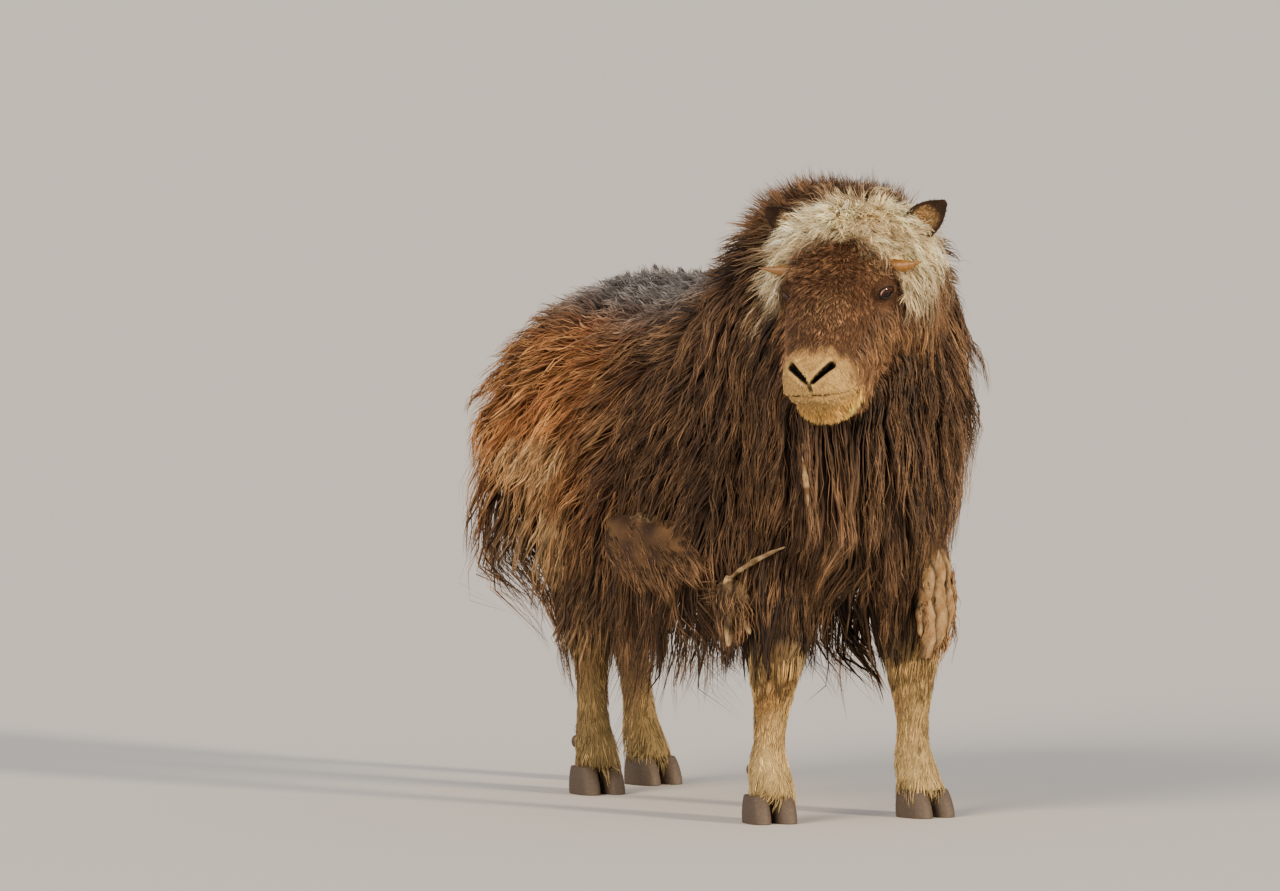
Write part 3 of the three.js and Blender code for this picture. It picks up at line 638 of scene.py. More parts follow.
def sculpt(points, normals):
    """Moves the face's points into brows, lids, nostrils, lips and mouth."""
    x, ahead, z = head_place(points)
    local = moved(points, HEAD.inverted())
    out = turned(normals, HEAD.inverted())
    muzzle = smooth(120, 150, ahead)

    # Nostrils: a deep slit with a raised rim, and the philtrum below
    for _, side in SIDES:
        gap = nostril_gap(local, side)
        depth = 14 * fade(0.45, 1.1, gap) - 2.4 * bump_at(gap, 2.0, 0.7)
        local = local - out * (depth * muzzle)[:, None]
    low = smooth(MOUTH["level"], MOUTH["level"] + 8, z) * fade(-14, -8, z) * muzzle
    local = local - out * (2.2 * bump_at(x, 0, 2.2) * low)[:, None]

    # Mouth: a narrow groove between full lips
    gap = mouth_gap(ahead, z)
    reach = smooth(MOUTH["corner"], MOUTH["corner"] + 18, ahead)
    side_on = smooth(0.15, 0.5, 1 - np.abs(out[:, 2]))
    groove = 6.0 * bump_at(gap, 0, 1.7) - 2.4 * bump_at(np.abs(gap), 8, 5)
    local = local - out * (groove * reach * side_on)[:, None]
    points = moved(local, HEAD)

    # Eyes: the lids lie on the ball, and between them the skin drops behind it
    for _, side in SIDES:
        matrix = eye_matrix(side)
        e = moved(points, matrix.inverted())
        front = e[:, 1] < 4
        radial = np.hypot(e[:, 0], e[:, 2])
        wide, high = EYE_OPENING
        lid = high * np.where(e[:, 2] > 0, 1, LOWER_LID)
        lid_edge = np.abs(e[:, 0] / wide) ** 2.2 + np.abs(e[:, 2] / lid) ** 2
        lid_ball = EYE_RADIUS + 2.6
        on_lid = -np.sqrt(np.maximum(lid_ball ** 2 - np.minimum(radial, lid_ball * 0.98) ** 2, 0))
        pocket = -np.sqrt(np.maximum((EYE_RADIUS - 6) ** 2 - radial ** 2, 0))
        near = fade(16, 30, radial) * front
        e[:, 1] = mix(e[:, 1], on_lid, near * 0.95)
        e[:, 1] = mix(e[:, 1], pocket, fade(0.82, 1.12, lid_edge) * front)
        brow = np.exp(-((e[:, 0] / 20) ** 2 + ((e[:, 2] - 21) / 8) ** 2)) * front * (e[:, 1] < 4)
        e[:, 1] -= 4.5 * brow
        points = moved(e, matrix)
    return points


# Chin and nose: place and radii, aside, ahead and up in the head's frame
LUMPS = (((0, 160, -86), (38, 32, 20)), ((0, 178, -22), (48, 22, 24)))


def skin_mesh():
    """The whole hide as one mesh: the forms joined, evened out and modelled in the face."""
    parts = []
    for name, form in FORMS.items():
        fine = 64 if name in ("torso", "neck") else 40
        parts.append(form.mesh(fine, fine, SKIN_SHARE, SKIN_UNDER))
    parts += [lump(place, radii) for place, radii in LUMPS]
    points, faces, count = [], [], 0
    for part_points, part_faces in parts:
        faces += [tuple(i + count for i in face) for face in part_faces]
        points.append(part_points)
        count += len(part_points)
    made = solid("skin", np.concatenate(points), faces)
    evaluated(made, "REMESH", mode="VOXEL", voxel_size=settings().voxel, use_smooth_shade=True)
    mesh = made.data
    put_places(mesh, relax(places(mesh), edges_of(mesh), 8))
    refine(mesh, in_face)
    refine(mesh, in_features)
    put_places(mesh, relax(places(mesh), edges_of(mesh), 2))
    points = places(mesh)
    BUILT["bare"], BUILT["free"] = bare_skin(points)
    put_places(mesh, sculpt(points, normals_of(mesh)))
    smooth_shaded(mesh)
    return made


def lump(place, radii):
    """A rounded mass in the head's frame, such as the chin."""
    x, ahead, z = place
    angles = around(24)
    rings = []
    for a in np.linspace(0.12, math.pi - 0.12, 12):
        ring = np.stack([radii[0] * math.sin(a) * np.cos(angles), radii[1] * math.sin(a) * np.sin(angles),
                         np.full(len(angles), radii[2] * math.cos(a))], 1)
        rings.append(moved(ring + (x, -ahead, z), HEAD))
    return tube(rings)


# Fields over the skin: what grows at each of its points

# Columns of the fields: the way hair lies, its colours at root and tip, its length, the coat's depth, its
# rise off the skin in degrees, how much it hangs, curl, width, how it gathers in locks, hairs to an area,
# and 1 on the head
LIE, COLOUR, TIP = slice(0, 3), slice(3, 6), slice(6, 9)
LENGTH, DEPTH, RISE, WEIGHT, CURL, WIDTH, CLUMP, DENSITY, HEADNESS = range(9, 18)
FIELD_COUNT = 18


def head_zones(x, ahead, z):
    """Shares of crown, cheek, muzzle and chin at places in the head's frame."""
    aside = np.abs(x)
    front = -66 + 16 * smooth(25, 70, aside) + 20 * smooth(70, 96, aside) + 5 * np.sin(x / 7.0)
    crown = fade(front - 6, front + 8, ahead) * smooth(-44, -24, z)
    cheek = np.clip(smooth(34, 60, aside) * fade(-16, 10, z) + fade(-92, -66, z), 0, 1)
    cheek = cheek * (1 - crown)
    edge = 144 - 9 * smooth(38, 60, aside) + 3.5 * np.cos(x / 8.0) + 2.5 * np.sin(x / 3.1 + 1)
    muzzle = smooth(-6, 6, ahead - edge)
    chin = smooth(-8, 8, ahead - 118) * fade(-62, -50, z) * smooth(-112, -98, z)
    return crown, cheek, muzzle, chin


def eye_ways(points):
    """Distance to the nearest eye's middle and the way out from it over the face."""
    near, way = np.full(len(points), 1e9), np.zeros((len(points), 3))
    for _, side in SIDES:
        matrix = eye_matrix(side)
        e = moved(points, matrix.inverted())
        far = np.hypot(e[:, 0], 1.25 * e[:, 2]) + 1e3 * (e[:, 1] > 14)
        closer = far < near
        near[closer] = far[closer]
        out = turned(np.stack([e[:, 0], 0 * far, e[:, 2]], 1), matrix)
        way[closer] = unit(out)[closer]
    return near, way


def head_fields(points):
    """What grows on the head: curls on the crown, short hair down the face, long hair on the cheeks."""
    x, ahead, z = head_place(points)
    f = np.zeros((len(points), FIELD_COUNT))
    side = np.where(x > 0, 1, -1)[:, None] * np.clip(np.abs(x) / 30, 0, 1)[:, None]
    back = turned(np.array([[0, 1.0, 0]]), HEAD)[0]
    aside = turned(np.array([[1.0, 0, 0]]), HEAD)[0]
    crown, cheek, muzzle, chin = head_zones(x, ahead, z)
    pale = np.maximum(muzzle, chin)

    local = moved(points, HEAD.inverted())
    stray = np.stack([noise(local, 34, 51), noise(local, 46, 52)], 1)
    bridge_lie = -0.8 * back + (0.014 * x + 0.45 * stray[:, 0])[:, None] * aside + 0.25 * DOWN
    bridge_lie = bridge_lie + 0.35 * stray[:, 1:] * back
    crown_lie = side * aside * (0.75 + 0.4 * stray[:, :1]) - 0.45 * back
    crown_lie = crown_lie + DOWN * (0.1 + 1.2 * smooth(45, 85, np.abs(x)))[:, None]
    cheek_lie = DOWN + 0.55 * back + 0.28 * side * aside + 0.3 * stray[:, :1] * back
    muzzle_lie = 0.9 * DOWN + 0.6 * side * aside + 0.35 * back
    lie = blend(bridge_lie, cheek_lie, cheek)
    lie = blend(lie, crown_lie, crown)
    f[:, LIE] = unit(blend(lie, muzzle_lie, pale))
    eye, eye_out = eye_ways(points)
    by_eye = fade(22, 40, eye)
    f[:, LIE] = blend(f[:, LIE], eye_out + 0.5 * f[:, LIE], 0.8 * by_eye)

    far_back = fade(-70, 70, ahead)
    temple = smooth(66, 92, np.abs(x)) * crown
    fine = np.maximum(pale, by_eye)
    lip = muzzle * (1 - chin) * smooth(168, 184, ahead)
    f[:, LENGTH] = mixed(mix(15, 24, fade(10, 70, ahead)), (mix(46, 128, far_back), cheek),
                         (50, crown), (62, temple), (8, muzzle), (14, chin), (5, lip), (6, by_eye))
    f[:, RISE] = mixed(48, (24, smooth(10, 70, ahead)), (20, cheek), (46, crown), (27, pale), (10, by_eye))
    f[:, WEIGHT] = mixed(0.1, (0.8, cheek), (0.5, crown))
    f[:, CURL] = mixed(1.7, (2.6, cheek), (4.4, crown)) * (1 - 0.85 * pale) * (1 - 0.8 * by_eye)
    f[:, WIDTH] = mixed(1.1, (1.4, cheek), (1.35, crown), (0.8, fine))
    f[:, CLUMP] = mixed(0.7, (0.8, cheek), (0.88, crown)) * (1 - 0.6 * fine)
    f[:, DENSITY] = mixed(150, (90, cheek), (150 + 110 * bump_at(x, 0, 30), crown), (240, pale),
                          (12, fade(-120, -80, ahead) * (1 - crown)))

    speckled = smooth(0.0, 0.5, noise(local, 13, 53))
    golden = bump_at(ahead, 70, 40) * fade(26, 52, np.abs(x)) * (0.35 + 0.65 * speckled)
    golden = np.maximum(golden, 0.6 * bump_at(ahead, 132, 9) * speckled)
    brow = np.exp(-((ahead + 16) / 13) ** 2 - ((np.abs(x) - 66) / 15) ** 2) * (z > 8)
    root = blend(blend(colour("forehead"), colour("cheek"), cheek), colour("crown_root"), crown)
    root = blend(root, colour("forehead") * 0.7, 0.7 * by_eye)
    tip = blend(blend(colour("forehead_tip"), colour("fleck"), golden), colour("cheek_tip"), cheek)
    tip = blend(tip, colour("fleck") * 1.1, brow)
    tip = blend(tip, colour("forehead"), 0.7 * by_eye * (1 - brow))
    tip = blend(tip, colour("crown"), crown)
    fair = blend(colour("muzzle"), colour("chin"), np.clip(fade(-70, -50, z), 0, 1))
    rim = bump_at(ahead, 148, 9) * smooth(-60, -40, z)
    shaded = np.clip(0.55 * rim + 0.35 * smooth(0.1, 0.7, noise(local, 17, 54)), 0, 1)
    fair = blend(fair, colour("cheek_tip") * 0.8, shaded)
    root, tip = blend(root, fair * 0.8, pale), blend(tip, fair, pale)
    under_jaw = fade(-110, -96, z) * smooth(40, 100, ahead)
    root = blend(root, colour("mane"), under_jaw)
    tip = blend(tip, colour("mane_tip"), under_jaw)

    f[:, COLOUR], f[:, TIP] = root, tip
    f[:, HEADNESS] = 1
    return f


def bare_skin(points):
    """Where skin is dark and where no hair grows: nostrils, the line of the mouth and the lids' rims."""
    x, ahead, z = head_place(points)
    local = moved(points, HEAD.inverted())
    bare, free = np.zeros(len(points)), np.zeros(len(points))
    wide, high = EYE_OPENING
    for _, side in SIDES:
        gap = nostril_gap(local, side)
        # Dark skin of the nostril, darkened further as painted shade in the deep slit
        bare = np.maximum(bare, fade(0.95, 1.25, gap))
        free = np.maximum(free, fade(1.0, 1.15, gap))
        e = moved(points, eye_matrix(side).inverted())
        rim = np.sqrt((e[:, 0] / wide) ** 2 + (e[:, 2] / high) ** 2) + 1e3 * (e[:, 1] > 4)
        bare = np.maximum(bare, 0.9 * fade(1.2, 1.4, rim))
        free = np.maximum(free, fade(1.12, 1.2, rim))
    philtrum = fade(2.5, 5, np.abs(x)) * smooth(-26, -20, z)
    pad = philtrum * fade(-10, -4, z) * smooth(176, 186, ahead)
    bare = np.maximum(bare, 0.85 * pad)
    free = np.maximum(free, pad)
    gap = mouth_gap(ahead, z)
    reach = smooth(MOUTH["seen"], MOUTH["seen"] + 12, ahead)
    thin = 1.0 + 0.45 * np.sin(x / 6.5) + 0.3 * np.sin(x / 2.7)
    # Dark line of the mouth: bare lip skin and painted shade in its groove
    bare = np.maximum(bare, fade(thin, thin + 0.9, np.abs(gap)) * reach)
    free = np.maximum(free, fade(thin, thin + 0.4, np.abs(gap)) * reach)
    return bare, free


# Shed underwool that lies on the long hair, on the right and the left: place along and up, and its reach
# along and up
BARE_WOOL = {
    -1: [(214, 532, 106, 42), (178, 430, 80, 34), (172, 368, 50, 26), (110, 252, 38, 22)],
    1: [(190, 505, 90, 38), (150, 410, 60, 34), (-70, 340, 60, 26)],
}


def shed(points):
    """How far shed underwool covers each point, with ragged edges."""
    y = points[:, 1] + 24 * noise(points, 80, 41)
    z = points[:, 2] + 13 * noise(points, 50, 42)
    total = np.zeros(len(points))
    for side, spots in BARE_WOOL.items():
        for along, level, reach, high in spots:
            spot = np.exp(-((y - along) / reach) ** 2 - ((z - level) / high) ** 2)
            total = np.maximum(total, spot * (points[:, 0] * side > 60))
    return smooth(0.34, 0.52, total)


# The body's and the neck's coat by the angle round it from the top
TORSO_COAT = {
    LENGTH: ((0, 54), (25, 66), (50, 96), (80, 128), (105, 186), (135, 235), (180, 150)),
    RISE: ((0, 30), (40, 26), (90, 22), (180, 26)),
    WEIGHT: ((0, 0.15), (40, 0.4), (90, 0.8), (130, 1.6), (180, 2)),
    CURL: ((0, 3.2), (60, 3.4), (120, 3.0), (180, 2.4)),
    CLUMP: ((0, 0.8), (40, 0.88), (180, 0.88)),
    DENSITY: ((0, 26), (60, 23), (130, 19), (150, 8), (180, 4)),
}
NECK_COAT = {
    LENGTH: ((0, 56), (30, 60), (60, 118), (100, 180), (180, 225)),
    RISE: ((0, 70), (30, 50), (60, 24), (180, 24)),
    WEIGHT: ((0, 0.02), (30, 0.1), (60, 0.6), (120, 1.3), (180, 1.8)),
    CURL: ((0, 3.0), (60, 3.2), (180, 2.8)),
}


def fields_by_angle(a, coat):
    f = np.zeros((len(a), FIELD_COUNT))
    for column, rows in coat.items():
        f[:, column] = by_rows(a, rows)
    return f


def torso_fields(points, t, angle):
    """What grows on the body: short wool on the back and ever longer hair down the sides."""
    a = np.abs(angle)
    side = np.sign(points[:, 0])
    rear = smooth(0.74, 0.96, t)
    f = fields_by_angle(a, TORSO_COAT)
    back = by_rows(a, ((0, 1.5), (30, 1.7), (60, 1.7), (90, 1.15), (130, 0.5), (180, 0.2)))
    back = back * (1 - 0.6 * smooth(0.7, 1, t)) + 0.5 * noise(points, 130, 21)
    down = by_rows(a, ((0, 0.1), (30, 0.5), (60, 0.9), (90, 1), (180, 1)))
    f[:, LIE] = np.stack([0.12 * side * smooth(5, 30, a), back, -down + 0.25 * noise(points, 90, 24)], 1)
    saddle = smooth(0.16, 0.3, t) * fade(0.62, 0.8, t) * fade(26, 50, a)
    bald = shed(points)
    f[:, LENGTH] += 46 * smooth(0.45, 0.8, t) * smooth(85, 120, a)
    f[:, LENGTH] *= 1 - 0.24 * smooth(0.8, 0.97, t)
    f[:, LENGTH] = mixed(f[:, LENGTH], (40, saddle), (54, bald))
    f[:, CURL] = mix(f[:, CURL], 4.2, saddle)
    f[:, WIDTH] = mix(2.3, 1.8, np.maximum(saddle, bald))
    f[:, DENSITY] = mixed(f[:, DENSITY], (42, saddle), (34, bald))

    golden = np.exp(-((t - 0.62) / 0.22) ** 4) * fade(88, 118, a)
    hem = mix(0.52, 1, smooth(290, 480, points[:, 2]))[:, None]
    root = blend(colour("mane") * hem, colour("flank"), golden)
    tip = blend(colour("mane_tip") * 0.8 * hem, colour("flank_tip"), golden)
    root, tip = blend(root, colour("saddle"), saddle), blend(tip, colour("saddle_tip"), saddle)
    dark = rear * smooth(20, 50, a)
    root, tip = blend(root, colour("rump"), dark), blend(tip, colour("rump_tip"), dark)
    f[:, COLOUR] = blend(root, colour("wool"), bald)
    f[:, TIP] = blend(tip, colour("wool_tip"), bald)
    return f


def neck_fields(points, angle):
    """What grows on the neck: a fuzzy crest that stands up, and the mane."""
    a = np.abs(angle)
    f = fields_by_angle(a, NECK_COAT)
    crest = fade(20, 46, a)
    back = by_rows(a, ((0, 0.5), (40, 0.5), (90, 0.28), (180, 0.0)))
    down = by_rows(a, ((0, -0.9), (30, 0), (55, 1), (180, 1)))
    f[:, LIE] = np.stack([0.2 * noise(points, 120, 23), back + 0.25 * noise(points, 140, 22), -down], 1)
    f[:, WIDTH] = mix(2.2, 1.2, crest)
    f[:, CLUMP] = mix(0.88, 0.35, crest)
    f[:, DENSITY] = mix(21, 90, crest)
    f[:, COLOUR] = blend(colour("mane"), colour("forehead"), 0.7 * crest)
    f[:, TIP] = blend(colour("mane_tip") * 0.85, colour("forehead_tip"), 0.6 * crest)
    return f


def leg_fields(points, hind):
    """What grows on a leg: short, pale hair, darker on the hind ones, and long hair above."""
    z = points[:, 2]
    f = np.zeros((len(points), FIELD_COUNT))
    f[:, LIE] = np.array([0, 0.12, -1])
    up = smooth(230, 330, z)
    f[:, LENGTH] = mix(mix(24, 26, smooth(120, 240, z)), 120, up)
    f[:, LENGTH] = mix(40, f[:, LENGTH], smooth(50, 96, z))
    f[:, RISE] = mix(16, 11, smooth(60, 110, z))
    f[:, WEIGHT] = 0.5
    f[:, CURL] = 1.1
    f[:, WIDTH] = mix(1.5, 2.8, up)
    f[:, CLUMP] = 0.75
    f[:, DENSITY] = mix(64, 14, up)
    pale = colour("leg") * (0.5 if hind else 1)
    shade = colour("leg_shade") * (0.7 if hind else 1)
    turn = 0.5 + 0.5 * noise(points, 60, 31)
    base = blend(pale, shade, np.clip(0.15 + 0.6 * turn * smooth(70, 200, z), 0, 1))
    base = blend(base, colour("mane"), smooth(262, 330, z))
    f[:, COLOUR], f[:, TIP] = base * 0.7, base
    return f


def tail_fields(points):
    """What grows on the tail."""
    f = np.zeros((len(points), FIELD_COUNT))
    f[:, LIE] = np.array([0, 0.2, -1])
    f[:, LENGTH], f[:, RISE], f[:, WEIGHT] = 100, 12, 0.8
    f[:, CURL], f[:, WIDTH], f[:, CLUMP], f[:, DENSITY] = 2.5, 2.4, 0.8, 26
    f[:, COLOUR], f[:, TIP] = colour("rump"), colour("rump_tip")
    return f


# Where each form's skin lies on the unwrap that the coat is baked on: left, right, foot and top
SHEETS = {
    "torso": (0.0, 0.58, 0.0, 0.6), "neck": (0.6, 1.0, 0.0, 0.6), "skull": (0.0, 0.4, 0.62, 1.0),
    "jaw": (0.42, 0.6, 0.62, 1.0), "foreleg_left": (0.62, 0.70, 0.62, 1.0),
    "foreleg_right": (0.71, 0.79, 0.62, 1.0), "hindleg_left": (0.80, 0.88, 0.62, 1.0),
    "hindleg_right": (0.89, 0.95, 0.62, 1.0), "tail": (0.96, 1.0, 0.62, 0.8), "ear": (0.96, 1.0, 0.82, 1.0),
}


def unwrap(name, t, angle):
    """The unwrap's place for t along a form and the angle round it."""
    left, right, foot, top = SHEETS[name]
    return np.stack([left + (right - left) * (angle + 180) / 360, foot + (top - foot) * t], 1)


def fields_of(points, edges):
    """The fields and the unwrap's place at each point of the skin."""
    names = list(FORMS)
    found = [FORMS[name].locate(points, SKIN_SHARE, SKIN_UNDER) for name in names]
    sizes = np.stack([size for _, _, size, _ in found], 1)
    owner = sizes.argmin(1)
    fields, sheet = np.zeros((len(points), FIELD_COUNT)), np.zeros((len(points), 2))
    for i, name in enumerate(names):
        own = owner == i
        if not own.any():
            continue
        t, angle, _, coat = (x[own] for x in found[i])
        p = points[own]
        if name == "torso":
            f = torso_fields(p, t, angle)
        elif name == "neck":
            f = neck_fields(p, angle)
        elif name in ("skull", "jaw"):
            f = head_fields(p)
        elif name == "tail":
            f = tail_fields(p)
        else:
            f = leg_fields(p, name.startswith("hind"))
        sideways = np.abs(np.sin(np.radians(angle)))
        f[:, DEPTH] = (1 - SKIN_SHARE) * mix(coat[:, 1], coat[:, 0], sideways)
        if name in ("torso", "neck"):
            f[:, DEPTH] = np.maximum(f[:, DEPTH], 20)
        fields[own], sheet[own] = f, unwrap(name, t, angle)
    body = fade(0.5, 1, relax(fields[:, [HEADNESS]], edges, 6)[:, 0])
    soft = relax(fields, edges, 24)
    near = relax(fields, edges, 2)
    fields = blend(near, soft, body)
    fields[:, LIE] = unit(blend(near[:, LIE], soft[:, LIE], np.maximum(body, 0.3)))
    return fields, sheet


# Hair

TUFT_PATCH = 0.003  # width of one hair's patch on the unwrap


def sample_roots(mesh, points, density, count, rng):
    """Draws roots on the skin, spread as density says. Gives triangles' corners and weights."""
    mesh.calc_loop_triangles()
    tris = read(mesh.loop_triangles, "vertices", 3, int)
    a, b, c = (points[tris[:, k]] for k in range(3))
    wanted = np.linalg.norm(np.cross(b - a, c - a), axis=1) * density[tris].mean(1)
    share = (np.arange(count) + rng.random(count)) / count
    chosen = np.minimum(np.searchsorted(np.cumsum(wanted) / wanted.sum(), share), len(tris) - 1)
    u, v = rng.random((2, count))
    flip = u + v > 1
    u[flip], v[flip] = 1 - u[flip], 1 - v[flip]
    return tris[chosen], np.stack([1 - u - v, u, v], 1)


def at_roots(corners, weights, values):
    """The values of the skin's points at each root."""
    return (values[corners] * weights[..., None]).sum(1)


def noise(points, scale, seed):
    """A smooth random number from about -1 to 1 at each point, from a few waves."""
    rng = np.random.default_rng(seed)
    total = np.zeros(len(points))
    for _ in range(7):
        way = unit(rng.normal(size=3)) / (scale * rng.uniform(0.6, 1.7))
        total += np.sin(points @ way * 2 * math.pi + rng.uniform(0, 2 * math.pi))
    return total / 3.2


def locks_of(roots, per_lock, rng):
    """The lock that each hair belongs to, and the hair in the middle of each lock."""
    count = max(len(roots) // per_lock, 1)
    heads = rng.choice(len(roots), count, replace=False)
    tree = KDTree(count)
    for i, head in enumerate(heads):
        tree.insert(roots[head], i)
    tree.balance()
    return np.array([tree.find(r)[1] for r in roots.tolist()]), heads


def lock_random(rng, own, count, together):
    """A random number for each hair that is mostly its lock's."""
    return together * rng.normal(size=count)[own] + (1 - together) * rng.normal(size=len(own))


def grown_paths(tree, roots, normals, f, steps, own, locks, rng):
    """Follows each hair from its root: it leaves at its rise, bends under its weight and lies on those
    below it."""
    lie = unit(f[:, LIE] - (f[:, LIE] * normals).sum(1)[:, None] * normals)
    sway = np.cross(normals, lie)
    stray = 0.16 * noise(roots, 70, 3) + 0.24 * lock_random(rng, own, locks, 0.75)
    lie = unit(lie + sway * stray[:, None])
    rise = f[:, RISE] * np.exp(0.32 * lock_random(rng, own, locks, 0.6))
    rise = np.radians(np.minimum(rise, 78))[:, None]
    way = lie * np.cos(rise) + normals * np.sin(rise)
    length = f[:, LENGTH] * np.exp(0.18 * lock_random(rng, own, locks, 0.6))
    length = length * (1 + 0.10 * noise(roots, 90, 5))
    level = rng.random(locks)[own] ** 0.7
    layer = f[:, DEPTH] * (0.25 + 0.75 * level) * np.exp(0.12 * rng.normal(size=len(roots)))
    steep = np.clip((f[:, RISE] - 30) / 16, 0, 1)
    path = [roots - normals * np.minimum(3.0, 0.1 * length)[:, None]]
    place = roots
    for k in range(1, steps + 1):
        s = k / steps
        way = unit(way + DOWN * (f[:, WEIGHT] / steps)[:, None])
        ahead = place + way * (length / steps)[:, None]
        nearest, facing, height = nearest_on(tree, ahead)
        wanted = layer * s ** 0.6
        hangs = np.clip((-facing[:, 2] - 0.15) / 0.35, 0, 1)
        low = np.maximum(height, mix(0.45 * wanted, 2.0, hangs))
        lies = np.where(height > wanted, mix(wanted, height, 0.35), low)
        lies = mix(lies, np.maximum(height, 1.5), np.maximum(hangs, steep))
        settled = nearest + facing * lies[:, None]
        settled[:, 2] = np.maximum(settled[:, 2], 6)
        way = unit(0.4 * way + 0.6 * unit(settled - place))
        place = settled
        path.append(place)
    return np.stack(path, 1)


def nearest_on(tree, points):
    """Nearest place on the skin, the way out there and the height over it."""
    found = [tree.find_nearest(p)[:2] for p in points.tolist()]
    nearest = np.array([f[0] for f in found])
    facing = np.array([f[1] for f in found])
    return nearest, facing, ((points - nearest) * facing).sum(1)


def clumped(paths, clump, own, heads, rng):
    """Draws each hair towards the middle one of its lock, the more the nearer its tip."""
    steps = paths.shape[1] - 1
    target = paths[heads[own]]
    target = target + 0.16 * (paths - target)
    pull = (clump * rng.uniform(0.7, 1, len(paths)))[:, None]
    return blend(paths, target, pull * (np.arange(steps + 1) / steps)[None] ** 1.2)


def crimped(paths, curl, wave, own, rng):
    """Waves each hair from side to side along its length, in step with the others of its lock."""
    count, rings = paths.shape[:2]
    locks = own.max() + 1
    steps = steps_along(paths)
    along = unit(steps)
    towards = unit(rng.normal(size=(locks, 3))[own] + 0.35 * rng.normal(size=(count, 3)))
    side = unit(np.cross(along, towards[:, None]))
    other = np.cross(along, side)
    run = np.cumsum(np.linalg.norm(steps, axis=2), 1)
    phase = 2 * math.pi * rng.random(locks)[own] + 0.4 * rng.normal(size=count)
    phase = phase[:, None] + 2 * math.pi * run / (wave * rng.uniform(0.8, 1.25, locks)[own])[:, None]
    size = curl[:, None] * (np.arange(rings) / (rings - 1))[None] ** 0.6
    swing, sway = size * np.sin(phase), 0.6 * size * np.cos(phase * 0.8)
    return paths + side * swing[..., None] + other * sway[..., None]


def outside(tree, paths, least):
    """Lifts what lies below the skin to least above it, apart from the roots."""
    flat = paths[:, 1:].reshape(-1, 3)
    _, facing, height = nearest_on(tree, flat)
    flat = flat + facing * np.maximum(least - height, 0)[:, None]
    flat[:, 2] = np.maximum(flat[:, 2], 4)
    return np.concatenate([paths[:, :1], flat.reshape(paths[:, 1:].shape)], 1)


def steps_along(paths):
    """From each point of a path to the next, with the last step kept for its end."""
    steps = np.diff(paths, axis=1, append=paths[:, -1:])
    steps[:, -1] = steps[:, -2]
    return steps


def strand_mesh(name, paths, facing, width, shade, sheet, flat):
    """One object of closed, tapered, three-sided hairs along their paths. shade is a colour for each ring,
    sheet each root's place on the unwrap, and flat a hair's thickness as a share of its width."""
    count, rings = paths.shape[:2]
    steps = steps_along(paths)
    along = unit(steps)
    across = unit(np.cross(along, facing[:, None] + 0 * along))
    over = np.cross(across, along)
    share = np.arange(rings) / (rings - 1)
    half = 0.5 * width[:, None] * by_rows(share, ((0, 0.85), (0.25, 1), (0.6, 0.8), (1, 0.12)))[None]
    body = rings - 1
    corners = []
    for a in (90, 210, 330):
        move = across * math.cos(rad(a)) + over * (flat[:, None, None] * math.sin(rad(a)))
        corners.append(paths[:, :body] + move[:, :body] * half[:, :body, None])
    hair = np.stack(corners, 2).reshape(count, body * 3, 3)
    points = np.concatenate([hair, paths[:, -1:]], 1)
    each = body * 3 + 1
    faces = [(0, 1, 2)]
    for r in range(body - 1):
        for i in range(3):
            a, b = r * 3 + i, r * 3 + (i + 1) % 3
            faces += [(a, a + 3, b), (b, a + 3, b + 3)]
    last = (body - 1) * 3
    faces += [(last + i, each - 1, last + (i + 1) % 3) for i in range(3)]
    faces = np.array(faces)
    every = (faces[None] + (np.arange(count) * each)[:, None, None]).reshape(-1, 3)

    mesh = bpy.data.meshes.new(name)
    mesh.vertices.add(count * each)
    mesh.vertices.foreach_set("co", (points.reshape(-1, 3) * MM + SHIFT).ravel())
    mesh.loops.add(every.size)
    mesh.loops.foreach_set("vertex_index", every.ravel().astype(np.int32))
    mesh.polygons.add(len(every))
    mesh.polygons.foreach_set("loop_start", np.arange(0, every.size, 3, dtype=np.int32))
    smooth_shaded(mesh)
    mesh.update(calc_edges=True)

    colours = np.concatenate([np.repeat(shade[:, :body], 3, axis=1), shade[:, -1:]], 1)
    paint(mesh, colours.reshape(-1, 3))
    aside = np.concatenate([np.tile([0, 0.5, 1], body), [0.5]])
    level = np.concatenate([np.repeat(share[:body], 3), [1.0]])
    spread = np.stack([aside, level], 1) - 0.5
    coat_map(mesh, (sheet[:, None] + TUFT_PATCH * spread[None]).reshape(-1, 2))
    long = np.linalg.norm(steps, axis=2).sum(1)
    apart = 7.7 * (np.arange(count) % 997)[:, None] + 0 * aside[None]
    fibre = np.stack([aside[None] * width[:, None] * 1.1, apart, level[None] * long[:, None] / 45], 2)
    store(mesh, "Fibre", "FLOAT_VECTOR", "vector", fibre)
    return new_object(name, mesh)


# Materials

# A mix node's sockets for colours
MIX_FIRST, MIX_SECOND, MIX_RESULT = 6, 7, 2


def add_node(tree, name, kind, values, links):
    """Adds a node with its settings and links. A link is an earlier node's name and its socket."""
    node = tree.nodes.new(f"ShaderNode{kind}")
    node.name = name
    for key, value in values.items():
        if isinstance(key, str) and key not in node.inputs:
            setattr(node, key, value)
        else:
            node.inputs[key].default_value = value
    for key, (source, socket) in links.items():
        tree.links.new(tree.nodes[source].outputs[socket], node.inputs[key])


def made_material(name, nodes):
    """A material from rows of nodes: kind, settings and links. The last one is its surface."""
    material = bpy.data.materials.new(name)
    material.use_nodes = True
    tree = material.node_tree
    tree.nodes.clear()
    for label, row in nodes.items():
        add_node(tree, label, *row)
    add_node(tree, "out", "OutputMaterial", {}, {"Surface": (label, "BSDF")})
    return material


def opaque(text):
    """An sRGB hex colour as a socket takes it."""
    return (*linear(text), 1)


